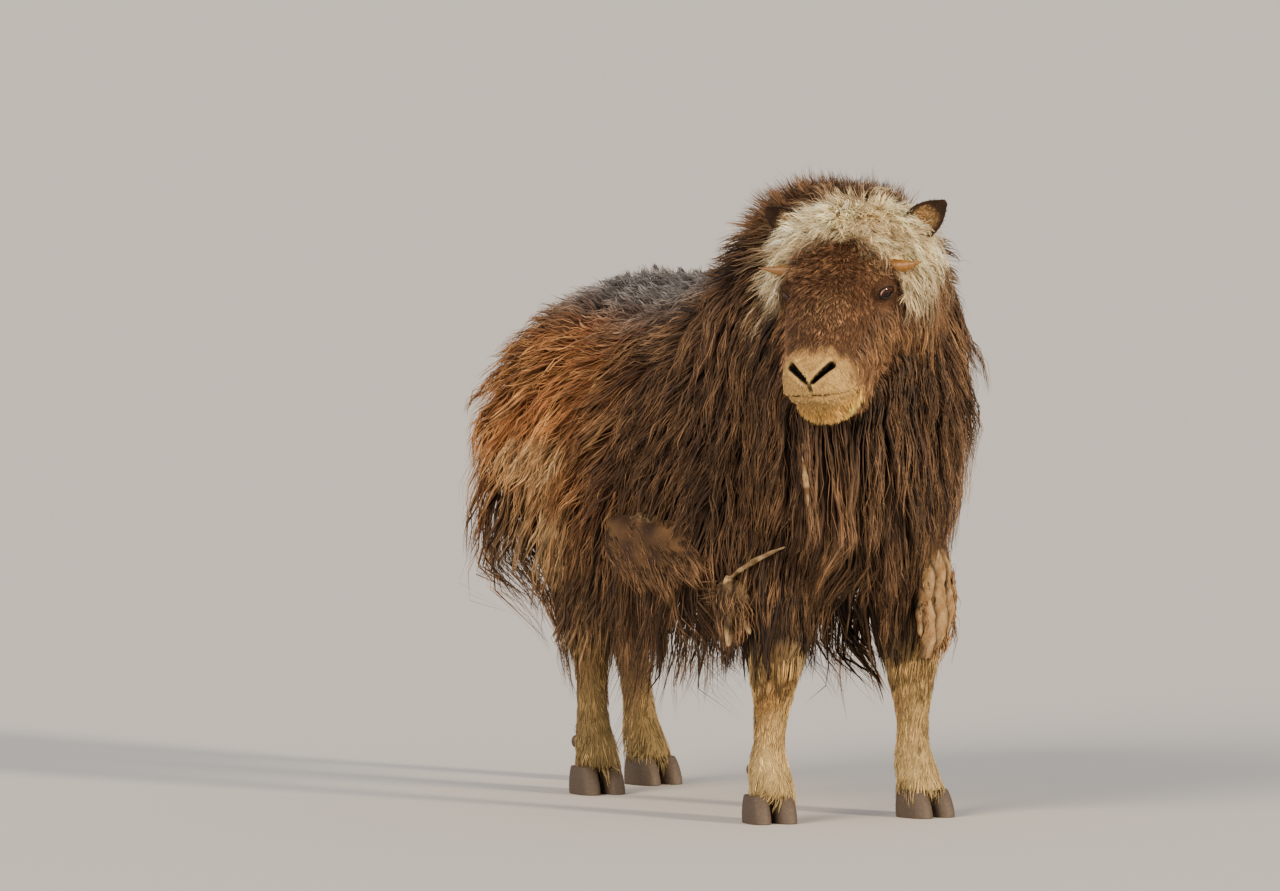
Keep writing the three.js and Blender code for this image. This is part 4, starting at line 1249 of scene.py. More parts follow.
COAT_COLOUR = ("Attribute", {"attribute_name": "Coat"}, {})
PLACE = ("TexCoord", {}, {})


def guard_hair_material(name, roughness=0.6, specular=0.2, variation=0.35):
    """Keratin guard hair: dull along its length, with a soft gloss where it turns, and uneven in tone."""
    return made_material(name, {
        "coat": COAT_COLOUR,
        "place": PLACE,
        "tufts": ("TexNoise", {"Scale": 1 / (26 * MM), "Detail": 3.0}, {"Vector": ("place", "Object")}),
        "tone": ("MapRange", {"From Min": 0.3, "From Max": 0.7, "To Min": 1 - variation,
                              "To Max": 1 + variation}, {"Value": ("tufts", "Fac")}),
        "fibre": ("Attribute", {"attribute_name": "Fibre"}, {}),
        "streaks": ("TexNoise", {"Scale": 1.0, "Detail": 2.0}, {"Vector": ("fibre", "Vector")}),
        "streak": ("MapRange", {"From Min": 0.38, "From Max": 0.62, "To Min": 0.5, "To Max": 1.35},
                   {"Value": ("streaks", "Fac")}),
        "both": ("Math", {"operation": "MULTIPLY"}, {0: ("tone", "Result"), 1: ("streak", "Result")}),
        "toned": ("VectorMath", {"operation": "SCALE"},
                  {"Vector": ("coat", "Color"), "Scale": ("both", "Value")}),
        "hair": ("BsdfPrincipled", {"Roughness": roughness, "IOR": 1.55, "Specular IOR Level": specular},
                 {"Base Color": ("toned", "Vector")}),
    })


def hide_material(name="hide with short hair", rough=0.8):
    """Skin under short hair, or felted wool: dull, with the fine lie of the fur as bump."""
    return made_material(name, {
        "coat": COAT_COLOUR,
        "place": PLACE,
        "stretched": ("Mapping", {"Scale": (1 / (1.2 * MM), 1 / (1.2 * MM), 1 / (6 * MM))},
                      {"Vector": ("place", "Object")}),
        "fur": ("TexNoise", {"Scale": 1.0, "Detail": 4.0}, {"Vector": ("stretched", "Vector")}),
        "tone": ("MapRange", {"From Min": 0.3, "From Max": 0.7, "To Min": 0.65, "To Max": 1.15},
                 {"Value": ("fur", "Fac")}),
        "toned": ("VectorMath", {"operation": "SCALE"},
                  {"Vector": ("coat", "Color"), "Scale": ("tone", "Result")}),
        "bump": ("Bump", {"Strength": 0.6, "Distance": 1.2 * MM}, {"Height": ("fur", "Fac")}),
        "hide": ("BsdfPrincipled", {"Roughness": rough, "IOR": 1.45, "Specular IOR Level": 0.2},
                 {"Base Color": ("toned", "Vector"), "Normal": ("bump", "Normal")}),
    })


def horn_material(name, base, dark, roughness, ring_mm):
    """Keratin of horn and hoof: polished by wear, with growth rings and fine streaks."""
    return made_material(name, {
        "place": PLACE,
        "streaks": ("TexNoise", {"Scale": 1 / (3 * MM), "Detail": 4.0}, {"Vector": ("place", "Object")}),
        "rings": ("TexWave", {"Scale": 1 / (ring_mm * MM) / 6.28, "Distortion": 2.5,
                              "bands_direction": "Z", "Detail": 2.0}, {"Vector": ("place", "Object")}),
        "tone": ("Mix", {"data_type": "RGBA", MIX_FIRST: opaque(dark), MIX_SECOND: opaque(base)},
                 {"Factor": ("streaks", "Fac")}),
        "bump": ("Bump", {"Strength": 0.35, "Distance": 0.6 * MM}, {"Height": ("rings", "Fac")}),
        "horn": ("BsdfPrincipled", {"Roughness": roughness, "IOR": 1.55},
                 {"Base Color": ("tone", MIX_RESULT), "Normal": ("bump", "Normal")}),
    })


PUPIL_HALF = (6.8, 4.4)
# Colours of the iris and the white outwards, up to IRIS_REACH from its middle
IRIS_REACH = 16.0
IRIS_COLOURS = ((0.5, "#2c160a"), (0.6, "#0d0605"), (0.66, "#8a5a46"), (0.74, "#d8bfae"))


def eye_material():
    """Wet cornea over a dark iris: a hard, clear gloss, a level slit of pupil and a reddish rim."""
    material = made_material("wet eye", {
        "aside": ("Attribute", {"attribute_name": "Aside"}, {}),
        "up": ("Attribute", {"attribute_name": "Up"}, {}),
        "place": ("CombineXYZ", {}, {"X": ("aside", "Fac"), "Y": ("up", "Fac")}),
        "centred": ("VectorMath", {"operation": "ADD", 1: (-IRIS_PLACE[0], -IRIS_PLACE[1], 0)},
                    {0: ("place", "Vector")}),
        "far": ("VectorMath", {"operation": "LENGTH"}, {0: ("centred", "Vector")}),
        "squat": ("VectorMath", {"operation": "MULTIPLY", 1: (1 / PUPIL_HALF[0], 1 / PUPIL_HALF[1], 1)},
                  {0: ("centred", "Vector")}),
        "slit": ("VectorMath", {"operation": "LENGTH"}, {0: ("squat", "Vector")}),
        "share": ("MapRange", {"From Max": IRIS_REACH}, {"Value": ("far", "Value")}),
        "iris": ("ValToRGB", {}, {"Fac": ("share", "Result")}),
        "edge": ("MapRange", {"From Min": 0.8, "From Max": 1.15}, {"Value": ("slit", "Value")}),
        "tone": ("Mix", {"data_type": "RGBA", MIX_FIRST: opaque("#050303")},
                 {"Factor": ("edge", "Result"), MIX_SECOND: ("iris", "Color")}),
        "cornea": ("BsdfPrincipled", {"Roughness": 0.05, "IOR": 1.36}, {"Base Color": ("tone", MIX_RESULT)}),
    })
    ramp = material.node_tree.nodes["iris"].color_ramp
    ramp.elements[0].color = opaque("#1c0d06")
    ramp.elements[-1].color = opaque("#e0cabc")
    for position, text in IRIS_COLOURS:
        ramp.elements.new(position).color = opaque(text)
    return material


def plain_material(name, text, roughness, ior, grain_mm, detail, strength, deep_mm):
    """One even colour with a fine grain as bump."""
    return made_material(name, {
        "place": PLACE,
        "grain": ("TexNoise", {"Scale": 1 / (grain_mm * MM), "Detail": detail},
                  {"Vector": ("place", "Object")}),
        "bump": ("Bump", {"Strength": strength, "Distance": deep_mm * MM}, {"Height": ("grain", "Fac")}),
        "surface": ("BsdfPrincipled", {"Base Color": opaque(text), "Roughness": roughness, "IOR": ior},
                    {"Normal": ("bump", "Normal")}),
    })


def bare_skin_material():
    """Naked skin of lid rims: dark, damp and finely wrinkled."""
    return plain_material("damp bare skin", "#1a110d", 0.32, 1.4, 1.5, 3.0, 0.4, 0.4)


def floor_material():
    """Matt painted floor of a studio: even and pale, with a faint grain."""
    return plain_material("matt painted floor", "#d6d3cd", 0.9, 1.5, 2, 2.0, 0.05, 0.5)


# The stage, in metres and degrees

LOOK_AT = (-0.138, 0.5645)  # the middle of the picture, to the right and up from this frame's origin
SENSOR = 36
CAMERA_SEES = 300
FLOOR_HALF = 90
# Azimuth and elevation, strength, width and colour
LAMPS = {"key": ((20, 12), 5.9, 7, "#ffe8c6"), "fill": ((-72, 26), 3.6, 34, "#ffe8ca")}
SKY, SKY_STRENGTH = "#d3e0f6", 0.55


def way_to(azimuth, elevation):
    """The way out to an azimuth and elevation. At 0 it is ahead of the animal."""
    level = math.cos(elevation)
    return Vector((math.sin(azimuth) * level, -math.cos(azimuth) * level, math.sin(elevation)))


class MUSKOX_OT_stage(bpy.types.Operator):
    """Floor, soft studio light and the camera at the photograph's angle"""
    bl_idname = "muskox.stage"
    bl_label = "Stage"

    azimuth: bpy.props.FloatProperty(
        name="Azimuth", description="Camera's angle round the animal", default=rad(-30), subtype="ANGLE")
    elevation: bpy.props.FloatProperty(
        name="Elevation", description="Camera's angle above the floor", default=rad(4), subtype="ANGLE")
    distance: size_value("Distance", "Camera to the animal", 40)
    frame_width: size_value("Frame width", "Width that the picture takes in", 2.0224)

    def execute(self, context):
        right = Vector((math.cos(self.azimuth), math.sin(self.azimuth), 0))
        towards = way_to(self.azimuth, self.elevation)
        up = towards.cross(right)
        middle = right * LOOK_AT[0] + up * LOOK_AT[1]
        middle = middle + Vector(SHIFT)
        camera = new_object("camera", bpy.data.cameras.new("camera"))
        camera.location = middle + towards * self.distance
        turn = Matrix((right, up, towards)).transposed().to_4x4()
        camera.matrix_world = Matrix.Translation(camera.location) @ turn
        camera.data.sensor_width = SENSOR
        camera.data.lens = SENSOR * self.distance / self.frame_width
        camera.data.clip_end = CAMERA_SEES
        context.scene.camera = camera

        mesh = bpy.data.meshes.new("floor")
        corners = [(x * FLOOR_HALF, y * FLOOR_HALF, 0) for x, y in ((-1, -1), (1, -1), (1, 1), (-1, 1))]
        mesh.from_pydata(corners, [], [(0, 1, 2, 3)])
        mesh.materials.append(floor_material())
        floor = new_object("floor", mesh)

        for name, (angles, strength, width, text) in LAMPS.items():
            lamp = bpy.data.lights.new(name, "SUN")
            lamp.energy, lamp.angle, lamp.color = strength, rad(width), tuple(linear(text))
            way = way_to(*(rad(angle) for angle in angles))
            new_object(name, lamp).rotation_euler = way.to_track_quat("Z", "Y").to_euler()
        world = bpy.data.worlds.new("studio")
        world.use_nodes = True
        background = world.node_tree.nodes["Background"]
        background.inputs["Color"].default_value = opaque(SKY)
        background.inputs["Strength"].default_value = SKY_STRENGTH
        context.scene.world = world
        return {"FINISHED"}


class MUSKOX_OT_skin(bpy.types.Operator):
    """The hide of the whole animal, with its markings and the modelled face"""
    bl_idname = "muskox.skin"
    bl_label = "Skin"

    def execute(self, context):
        made = skin_mesh()
        mesh = made.data
        points, normals, edges = places(mesh), normals_of(mesh), edges_of(mesh)
        fields, sheet = fields_of(points, edges)
        wool = shed(points) * (fields[:, HEADNESS] < 0.5)
        shade = blend(fields[:, COLOUR] * 0.8, colour("wool"), wool)
        # Near black on lips, nose pad and lid rims, with painted shade in the nostril slits and the mouth's
        # groove
        shade = blend(shade, colour("naked_skin_and_shade"), BUILT["bare"] * in_face(points))
        paint(mesh, shade)
        finish_piece(made, "guard_hair", hide_material(), "torso", "neck", "head", "tail", *LEGS)
        tree = BVHTree.FromPolygons(points.tolist(), [list(p.vertices) for p in mesh.polygons])
        BUILT.update(mesh=mesh, points=points, normals=normals, fields=fields, sheet=sheet, tree=tree)
        return {"FINISHED"}


# How hair grows in one piece: segments of a hair, hairs to a small lock, share of broad under-tufts, share
# of loose hairs, and for the big and small waves their size as a share of the field's curl and their length
# in millimetres, or None for the length in the settings
COATS = {
    "body": {"steps": 6, "lock": 9, "broad": 0.14, "loose": 0.16, "waves": (2.3, None, 0.9, None)},
    "crest": {"steps": 3, "lock": 5, "broad": 0.0, "loose": 0.3, "waves": (0.9, 40, 0.7, 22)},
    "crown": {"steps": 6, "lock": 7, "broad": 0.06, "loose": 0.2, "waves": (1.3, 52, 0.4, 26)},
    "cheek": {"steps": 5, "lock": 7, "broad": 0.08, "loose": 0.16, "waves": (1.7, 74, 0.7, 34)},
    "face": {"steps": 3, "lock": 5, "broad": 0.0, "loose": 0.15, "waves": (0.5, 30, 0.7, 15)},
    "leg": {"steps": 3, "lock": 6, "broad": 0.0, "loose": 0.1, "waves": (0.5, 50, 0.8, 20)},
}
SMALL_IN_BIG = 6  # small locks to a big one
SEAM = 0.04  # a face that is wider on the unwrap than this crosses one of its seams


def hair_piece(name, slot, material, chosen, count, kind, seed):
    """Grows the hair of one part of the skin: chosen says which of its points are in that part."""
    rng = np.random.default_rng(seed)
    coat = COATS[kind]
    points, normals, fields, sheet = (BUILT[k] for k in ("points", "normals", "fields", "sheet"))
    corners, weights = sample_roots(BUILT["mesh"], points, fields[:, DENSITY] * chosen, count, rng)
    roots = at_roots(corners, weights, points)
    kept = ~((at_roots(corners, weights, BUILT["free"][:, None])[:, 0] > 0.35) & in_face(roots))
    corners, weights, roots = corners[kept], weights[kept], roots[kept]
    facing = unit(at_roots(corners, weights, normals))
    f = at_roots(corners, weights, fields)
    f[:, LIE] = unit(f[:, LIE])
    uv = at_roots(corners, weights, sheet)
    torn = np.ptp(sheet[corners], axis=1).max(1) > SEAM
    uv[torn] = sheet[corners[torn, 0]]

    small, small_heads = locks_of(roots, coat["lock"], rng)
    big, big_heads = locks_of(roots, coat["lock"] * SMALL_IN_BIG, rng)
    loose = rng.random(len(roots)) < coat["loose"]
    f[loose, LENGTH] *= 0.78
    broad = (rng.random(len(roots)) < coat["broad"]) & ~loose
    f[broad, DEPTH] *= 0.75
    paths = grown_paths(BUILT["tree"], roots, facing, f, coat["steps"], small, len(small_heads), rng)
    clump = f[:, CLUMP] * np.where(loose, 0.15, 1)
    paths = clumped(paths, clump, small, small_heads, rng)
    paths = clumped(paths, 0.5 * clump, big, big_heads, rng)
    size_long, wave, size_short, crimp = coat["waves"]
    wave, crimp = wave or settings().wave / MM, crimp or settings().crimp / MM
    paths = crimped(paths, size_long * f[:, CURL], wave, big, rng)
    freedom = np.where(loose, 1.8, np.where(broad, 0.3, 1))
    paths = crimped(paths, size_short * f[:, CURL] * freedom, crimp, small, rng)
    paths = outside(BUILT["tree"], paths, 0.4)

    tone = 0.26 * lock_random(rng, big, len(big_heads), 0.85)
    tone = tone + 0.24 * lock_random(rng, small, len(small_heads), 0.5)
    tone = np.exp(tone + 0.16 * noise(roots, 60, 11) - 0.15 * broad)[:, None]
    lit = np.clip(0.5 + 0.4 * lock_random(rng, small, len(small_heads), 0.4) - 0.3 * broad, 0, 1)[:, None]
    root_colour = f[:, COLOUR] * tone
    tip_colour = mix(f[:, COLOUR] * 1.1, f[:, TIP], lit) * tone
    level = np.linspace(0, 1, paths.shape[1])
    shade = blend(root_colour[:, None], tip_colour[:, None], level[None] ** 1.2)
    # Painted shade: each hair darkens towards its root, where it lies deep in the coat, and less on the pale
    # crown
    deep = 0.78 if kind == "crown" else 0.5
    shade = shade * mix(deep, 1.0, smooth(0, 0.5, level))[None, :, None]
    shade = woolly(paths, shade, rng)
    width = f[:, WIDTH] * np.where(broad, 4.2, rng.uniform(0.5, 1.3, len(roots))) * np.where(loose, 0.7, 1)
    paths, free = clipped(paths, hides_horns(paths) | hides_felt(paths))
    free &= growing(paths[:, 1]) & growing(paths[:, -1])
    made = strand_mesh(name, paths[free], facing[free], width[free], shade[free], uv[free],
                       np.where(broad, 0.3, 0.55)[free])
    finish_piece(made, slot, material)


def woolly(paths, shade, rng):
    """Colours what lies in the patches of shed underwool, wherever its roots are."""
    count, rings = paths.shape[:2]
    cover = shed(paths.reshape(-1, 3)).reshape(count, rings) * (paths[..., 2] > 200)
    pale = blend(colour("wool"), colour("wool_tip"), np.clip(rng.normal(0.45, 0.35, count), 0, 1))
    pale = pale * rng.uniform(0.75, 1.1, (count, 1))
    return blend(shade, pale[:, None] * np.ones((1, rings, 1)), cover * rng.uniform(0.6, 1, (count, 1)))


def growing(points):
    """Which points are clear of the nostrils, the mouth and the eyes."""
    _, free = bare_skin(points)
    return ~((free > 0.5) & in_face(points))


def hides_horns(paths):
    """Which points of hairs hide the horns from in front."""
    sight = unit(np.array([0, -0.73, 0.68]))
    hidden = np.zeros(paths.shape[:2], bool)
    inverse = HEAD.inverted()
    for _, side in SIDES:
        root, tip = sided(HORN["root"], side), sided(HORN["tip"], side)
        line = [root + (tip - root) * share for share in (0.5, 0.75, 1.0)]
        flat_line = [p - sight * (p @ sight) for p in line]
        for k in range(1, paths.shape[1]):
            local = moved(paths[:, k], inverse)
            gap, _ = to_line(local - (local @ sight)[:, None] * sight, flat_line)
            hidden[:, k] |= (gap < HORN_CLEAR) & (local @ sight > line[1] @ sight - 14)
    return hidden


def hides_felt(paths):
    """Which points of hairs lie over the felted pieces."""
    hidden = np.zeros(paths.shape[:2], bool)
    for mat in MATS.values():
        along, up, out = mat_ways(mat)
        away = paths - np.array(mat.middle, float)
        spread = (away @ along / mat.half[0]) ** 2 + (away @ up / mat.half[1]) ** 2
        hidden |= (spread < 0.36) & (away @ out > -10) & (away @ out < 130)
    hidden[:, 0] = False
    return hidden


def clipped(paths, hidden):
    """Ends each hair before its first hidden point. Gives the paths and which of them are left."""
    rings = paths.shape[1]
    first = np.where(hidden.any(1), hidden.argmax(1), rings)
    reach = np.where(first < rings, first - 0.6, rings - 1) / (rings - 1)
    at = np.linspace(0, 1, rings)[None] * reach[:, None] * (rings - 1)
    low = np.minimum(at.astype(int), rings - 2)
    share = (at - low)[..., None]
    row = np.arange(len(paths))[:, None]
    cut = paths[row, low] * (1 - share) + paths[row, low + 1] * share
    return np.where((first < rings)[:, None, None], cut, paths), first > 1


def hairs(count):
    return int(count * (1.0))


# Places on the body that part its coat
CREST_END, FLANK_END = -235, 150
LEG_TOP, HOOF_TOP = 285, 38


class MUSKOX_OT_body_coat(bpy.types.Operator):
    """Long guard hair of torso, neck and tail, and the fuzzy crest of the hump"""
    bl_idname = "muskox.body_coat"
    bl_label = "Body coat"

    def execute(self, context):
        material = BUILT["guard"] = guard_hair_material("keratin guard hair")
        points, fields = BUILT["points"], BUILT["fields"]
        x, y, z = points.T
        on_body = fields[:, HEADNESS] < 0.5
        crest = on_body & (fields[:, LENGTH] < 72) & (y < CREST_END) & (z > 700)
        on_body = on_body & (z > LEG_TOP) & ~crest
        bands = (("shoulder", y < CREST_END, 3650), ("flank", (y >= CREST_END) & (y < FLANK_END), 3850),
                 ("rump", y >= FLANK_END, 3200))
        seed = 100
        for band, within, count in bands:
            for label, side in SIDES:
                chosen = on_body & within & (x * side >= 0)
                name = f"coat_{band}_{label}"
                hair_piece(name, "guard_hair", material, chosen, hairs(count), "body", seed)
                seed += 1
        hair_piece("coat_crest", "mane_hair", material, crest, hairs(7200), "crest", seed)
        return {"FINISHED"}


class MUSKOX_OT_head_coat(bpy.types.Operator):
    """Short hair of face and muzzle, the curly crown and the long hair of the cheeks"""
    bl_idname = "muskox.head_coat"
    bl_label = "Head coat"

    def execute(self, context):
        material = guard_hair_material("fine face hair", 0.55, 0.3, 0.18)
        fields = BUILT["fields"]
        crown = head_zones(*head_place(BUILT["points"]))[0]
        head = fields[:, HEADNESS] >= 0.5
        band = head & (crown >= 0.5)
        short = head & ~band & (fields[:, LENGTH] < 30)
        rest = head & ~band & ~short
        parts = (("face", short, 12200, 201), ("crown", band, 4700, 202), ("cheek", rest, 5200, 203))
        for kind, chosen, count, seed in parts:
            hair_piece(f"{kind}_hair", "face_hair", material, chosen, hairs(count), kind, seed)
        return {"FINISHED"}


class MUSKOX_OT_leg_coat(bpy.types.Operator):
    """Short hair of the legs"""
    bl_idname = "muskox.leg_coat"
    bl_label = "Leg coat"

    def execute(self, context):
        material = guard_hair_material("short leg hair", 0.6, 0.3, 0.25)
        height = BUILT["points"][:, 2]
        low = (height <= LEG_TOP) & (height > HOOF_TOP)
        hair_piece("leg_hair", "leg_hair", material, low, hairs(7400), "leg", 301)
        return {"FINISHED"}


# Felted underwool that has worked out of the coat: its middle, the way it faces, half its length along and
# up, its turn in degrees, thickness, hanging tips as angle and length, and how deep its cracks are
Mat = namedtuple("Mat", "middle facing half turn thick tips cracks")
MATS = {
    "felt_flank_right": Mat((-238, -154, 428), (-1, -0.08, 0.12), (122, 50), -3, 12, (), 0),
    "felt_elbow_right": Mat((-189, -339, 351), (-0.8, -0.58, 0.05), (30, 38), 6, 8,
                            ((-64, 0.7), (-108, 0.9)), 1),
    "felt_shoulder_left": Mat((135, -432, 350), (0.3, -0.95, 0.05), (42, 92), -4, 8,
                              ((-60, 0.1), (-120, 0.15)), 4),
    "felt_flank_left": Mat((243, 40, 446), (1, 0.02, 0.12), (92, 40), 8, 11, (), 0),
}
# Points round a felted piece, and rings over it and under it
MAT_AROUND, MAT_OVER, MAT_UNDER = 96, 26, 12
# Twisted and hanging wisps of felted wool: points along the middle, and half the width at each
WISPS = {
    "wisp_elbow": ([(-206, -294, 364), (-193, -302, 370), (-188, -320, 379), (-185, -350, 396),
                    (-172, -376, 413), (-154, -400, 428), (-137, -415, 437)],
                   [1.5, 3, 4.5, 5, 4.5, 3, 1]),
    "wisp_throat": ([(-172, -527, 588), (-176, -539, 571), (-176, -543, 552), (-172, -541, 534),
                     (-170, -541, 521), (-170, -541, 509)],
                    [1.5, 5, 5.5, 3.5, 2, 0.8]),
}
WISP_AROUND, WISP_RINGS = 16, 48


def mat_ways(mat):
    """Ways along, up and out of a felted piece."""
    out = unit(np.array(mat.facing, float))
    up = unit(np.array([0, 0, 1.0]) - out * out[2])
    along = np.cross(up, out)
    a = rad(mat.turn)
    return along * math.cos(a) + up * math.sin(a), up * math.cos(a) - along * math.sin(a), out


def mat_rise(mat, fall, up):
    """How far a felted piece's upper side stands out. fall is 0 at its middle and 1 at its edge, and up is
    the place up on it as a share of its size."""
    return mat.thick * (1 - fall) * (0.8 + 0.35 * smooth(-0.6, 0.7, up))


class MUSKOX_OT_felt(bpy.types.Operator):
    """Felted underwool: ragged cushions with a pale upper edge, and twisted wisps"""
    bl_idname = "muskox.felt"
    bl_label = "Felted underwool"

    def execute(self, context):
        matted = hide_material("matted underwool", 0.75)
        for seed, (name, mat) in enumerate(MATS.items()):
            points, faces, spread = self.cushion(mat, seed)
            made = solid(name, points, faces)
            paint(made.data, self.tones(points, spread, mat))
            # On the coat's map the upper side lies on the left and the under side on the right
            shift = np.where(np.arange(len(spread)) < MAT_OVER * MAT_AROUND, 0.25, 0.75)
            shift[-2:] = (0.25, 0.75)
            coat_map(made.data, np.stack([shift + 0.1 * spread[:, 0], 0.5 + 0.2 * spread[:, 1]], 1))
            finish_piece(made, "guard_hair", matted)
            self.fringe(name, mat, np.random.default_rng(500 + seed))
        for seed, (name, (line, widths)) in enumerate(WISPS.items()):
            self.wisp(name, np.array(line, float), widths, matted, seed)
        return {"FINISHED"}

    def cushion(self, mat, seed):
        """Points and faces of one piece, and each point's place along and up as a share of its size."""
        along, up, out = mat_ways(mat)
        angles = around(MAT_AROUND)
        ragged = 1 + 0.09 * np.sin(3 * angles + seed) + 0.06 * np.sin(7 * angles + 2)
        ragged = ragged + 0.04 * np.sin(17 * angles)
        for angle, long in mat.tips:
            away = (np.degrees(angles) - angle + 180) % 360 - 180
            ragged = ragged + long * bump_at(away, 0, 9)
        rings, spread = [], []
        levels = [(r, True) for r in np.linspace(0.04, 1, MAT_OVER)]
        levels += [(r, False) for r in np.linspace(0.96, 0.04, MAT_UNDER)]
        for r, over in levels:
            across, high = r * ragged * np.cos(angles), r * ragged * np.sin(angles)
            spot = np.array(mat.middle) + across[:, None] * mat.half[0] * along
            spot = spot + high[:, None] * mat.half[1] * up
            rise = np.full(MAT_AROUND, -16.0)
            if over:
                lumps = 2.2 * noise(spot, 26, 61) + 1.2 * noise(spot, 9, 62)
                rise = mat_rise(mat, r ** 3, high) + lumps * (1 - r ** 4)
                rise = rise - mat.cracks * self.cracks(spot, along, up) - 10 * r ** 6
            rings.append(spot + out * rise[:, None])
            spread.append(np.stack([across, high], 1))
        points, faces = tube(rings)
        return points, faces, np.concatenate(spread + [np.zeros((2, 2))])

    def cracks(self, spot, along, up):
        """How far each place lies in one of the cracks that run up the piece."""
        run = spot @ along + 5 * noise(spot, 40, 63) + 0.12 * (spot @ up)
        return bump_at(run / 22 - np.round(run / 22), 0, 0.15)

    def tones(self, points, spread, mat):
        """The colour at each point: dark wool with a pale upper edge, or paler wool with dark cracks."""
        edge = smooth(0.74, 0.98, spread[:, 1] + 0.1 * noise(points, 30, 65)) * (mat.cracks < 2) * 0.6
        body = blend(colour("mane"), colour("wool") * 0.3, np.clip(0.5 + 0.4 * noise(points, 40, 66), 0, 1))
        if mat.cracks >= 1:
            deep = 0.16 if mat.cracks == 1 else 0.5
            tuft = np.clip(0.4 + 0.4 * noise(points, 18, 67), 0, 1)
            body = blend(colour("wool") * deep, colour("wool_tip") * deep, tuft)
            hanging = smooth(1.05, 1.5, -spread[:, 1]) * (mat.cracks == 1)
            body = blend(body, colour("wool_tip") * 0.6, hanging)
            along, up, _ = mat_ways(mat)
            # Painted shade in the sunken cracks, where the dark coat also shows through
            body = blend(body, colour("rump"), 0.9 * self.cracks(points, along, up))
        return blend(body, colour("wool_tip"), edge)

    def fringe(self, name, mat, rng):
        """Hairs that grow through and over the piece, few on its pale upper edge."""
        along, up, out = mat_ways(mat)
        cracked = mat.cracks > 1
        count = hairs(int(0.2 * mat.half[0] * mat.half[1] * (0.4 if cracked else 1)))
        radius, angle = np.sqrt(rng.random(count)), rng.uniform(0, 2 * math.pi, count)
        flat = np.stack([radius * np.cos(angle), radius * np.sin(angle)], 1)
        flat = flat[(flat[:, 1] < 0.6) | (rng.random(count) < 0.4)]
        count = len(flat)
        height = mat_rise(mat, (flat ** 2).sum(1) ** 1.5, flat[:, 1]) - 3
        roots = np.array(mat.middle) + flat[:, :1] * mat.half[0] * along + flat[:, 1:] * mat.half[1] * up
        roots = roots + height[:, None] * out
        forward = np.array([0, -1.0, 0]) if mat.cracks == 0 else np.zeros(3)
        lie = forward + 0.75 * DOWN + 0.1 * out + 0.22 * rng.normal(size=(count, 3))
        lie = unit(lie + 0.4 * noise(roots, 50, 68)[:, None] * up)
        length = rng.uniform(26, 58, count) * (0.5 if cracked else 1)
        s = np.linspace(0, 1, 5)
        paths = roots[:, None] + lie[:, None] * (length[:, None] * s)[..., None]
        paths = paths - out * (13 * s ** 2)[:, None]
        paths[..., 2] -= 9 * s ** 2
        small, heads = locks_of(roots, 6, rng)
        paths = clumped(paths, np.full(count, 0.8), small, heads, rng)
        paths = crimped(paths, np.full(count, 2.4), 30.0, small, rng)
        tone = np.exp(0.3 * lock_random(rng, small, len(heads), 0.5))[:, None, None]
        root = colour("wool") * 0.5 if cracked else colour("mane")
        tip = colour("wool") * 0.8 if cracked else colour("mane_tip") * 0.75
        shade = blend(root * tone, tip * tone, np.broadcast_to(s ** 1.2, (count, len(s))))
        width = rng.uniform(1.0, 2.2, count)
        made = strand_mesh(f"{name}_hair", paths, np.tile(out, (count, 1)), width, shade, 0.5 + 0.2 * flat,
                           np.full(count, 0.5))
        finish_piece(made, "guard_hair", BUILT["guard"])

    def wisp(self, name, line, widths, material, seed):
        """A flat, twisted rope of felted wool."""
        steps = np.linspace(0, 1, WISP_RINGS)
        angles = around(WISP_AROUND)
        middles = curve(line, steps)
        half = curve(np.array(widths, float)[:, None], steps)[:, 0]
        ways = unit(np.gradient(middles, axis=0))
        side = unit(np.cross(ways, np.array([0.5, 0.8, 0.3])))
        over = np.cross(ways, side)
        rings = []
        for i, s in enumerate(steps):
            turn = 3.4 * s + seed
            wide = half[i] * (1 + 0.18 * np.sin(3 * angles + 9 * s) + 0.1 * math.sin(40 * s))
            a, b = wide * np.cos(angles), 0.5 * wide * np.sin(angles)
            first, second = a * math.cos(turn) - b * math.sin(turn), a * math.sin(turn) + b * math.cos(turn)
            rings.append(middles[i] + first[:, None] * side[i] + second[:, None] * over[i])
        points, faces = tube(rings)
        made = solid(name, points, faces)
        paint(made.data, blend(colour("wool") * 0.22, colour("wool_tip") * 0.5,
                               np.clip(0.4 + 0.5 * noise(points, 14, 69), 0, 1)))
        across = np.tile(np.linspace(-1, 1, WISP_AROUND), WISP_RINGS)
        along = np.repeat(2 * steps - 1, WISP_AROUND)
        flat = np.concatenate([np.stack([across, along], 1), [(0, -1), (0, 1)]])
        coat_map(made.data, 0.5 + 0.15 * flat)
        finish_piece(made, "guard_hair", material)


def ball_points(radius, count, rows):
    """Points and faces of a ball with its poles at -Y and +Y."""
    points = []
    for r in range(rows + 1):
        a = math.pi * r / rows
        for i in range(count):
            b = 2 * math.pi * i / count
            ring = radius * math.sin(a)
            points.append((ring * math.cos(b), -radius * math.cos(a), ring * math.sin(b)))
    return np.array(points), quads(rows + 1, count)


def hoop(middle, first, second, radius, count):
    """A ring of points round a middle."""
    return np.array([middle + radius * (first * math.cos(b) + second * math.sin(b)) for b in around(count)])


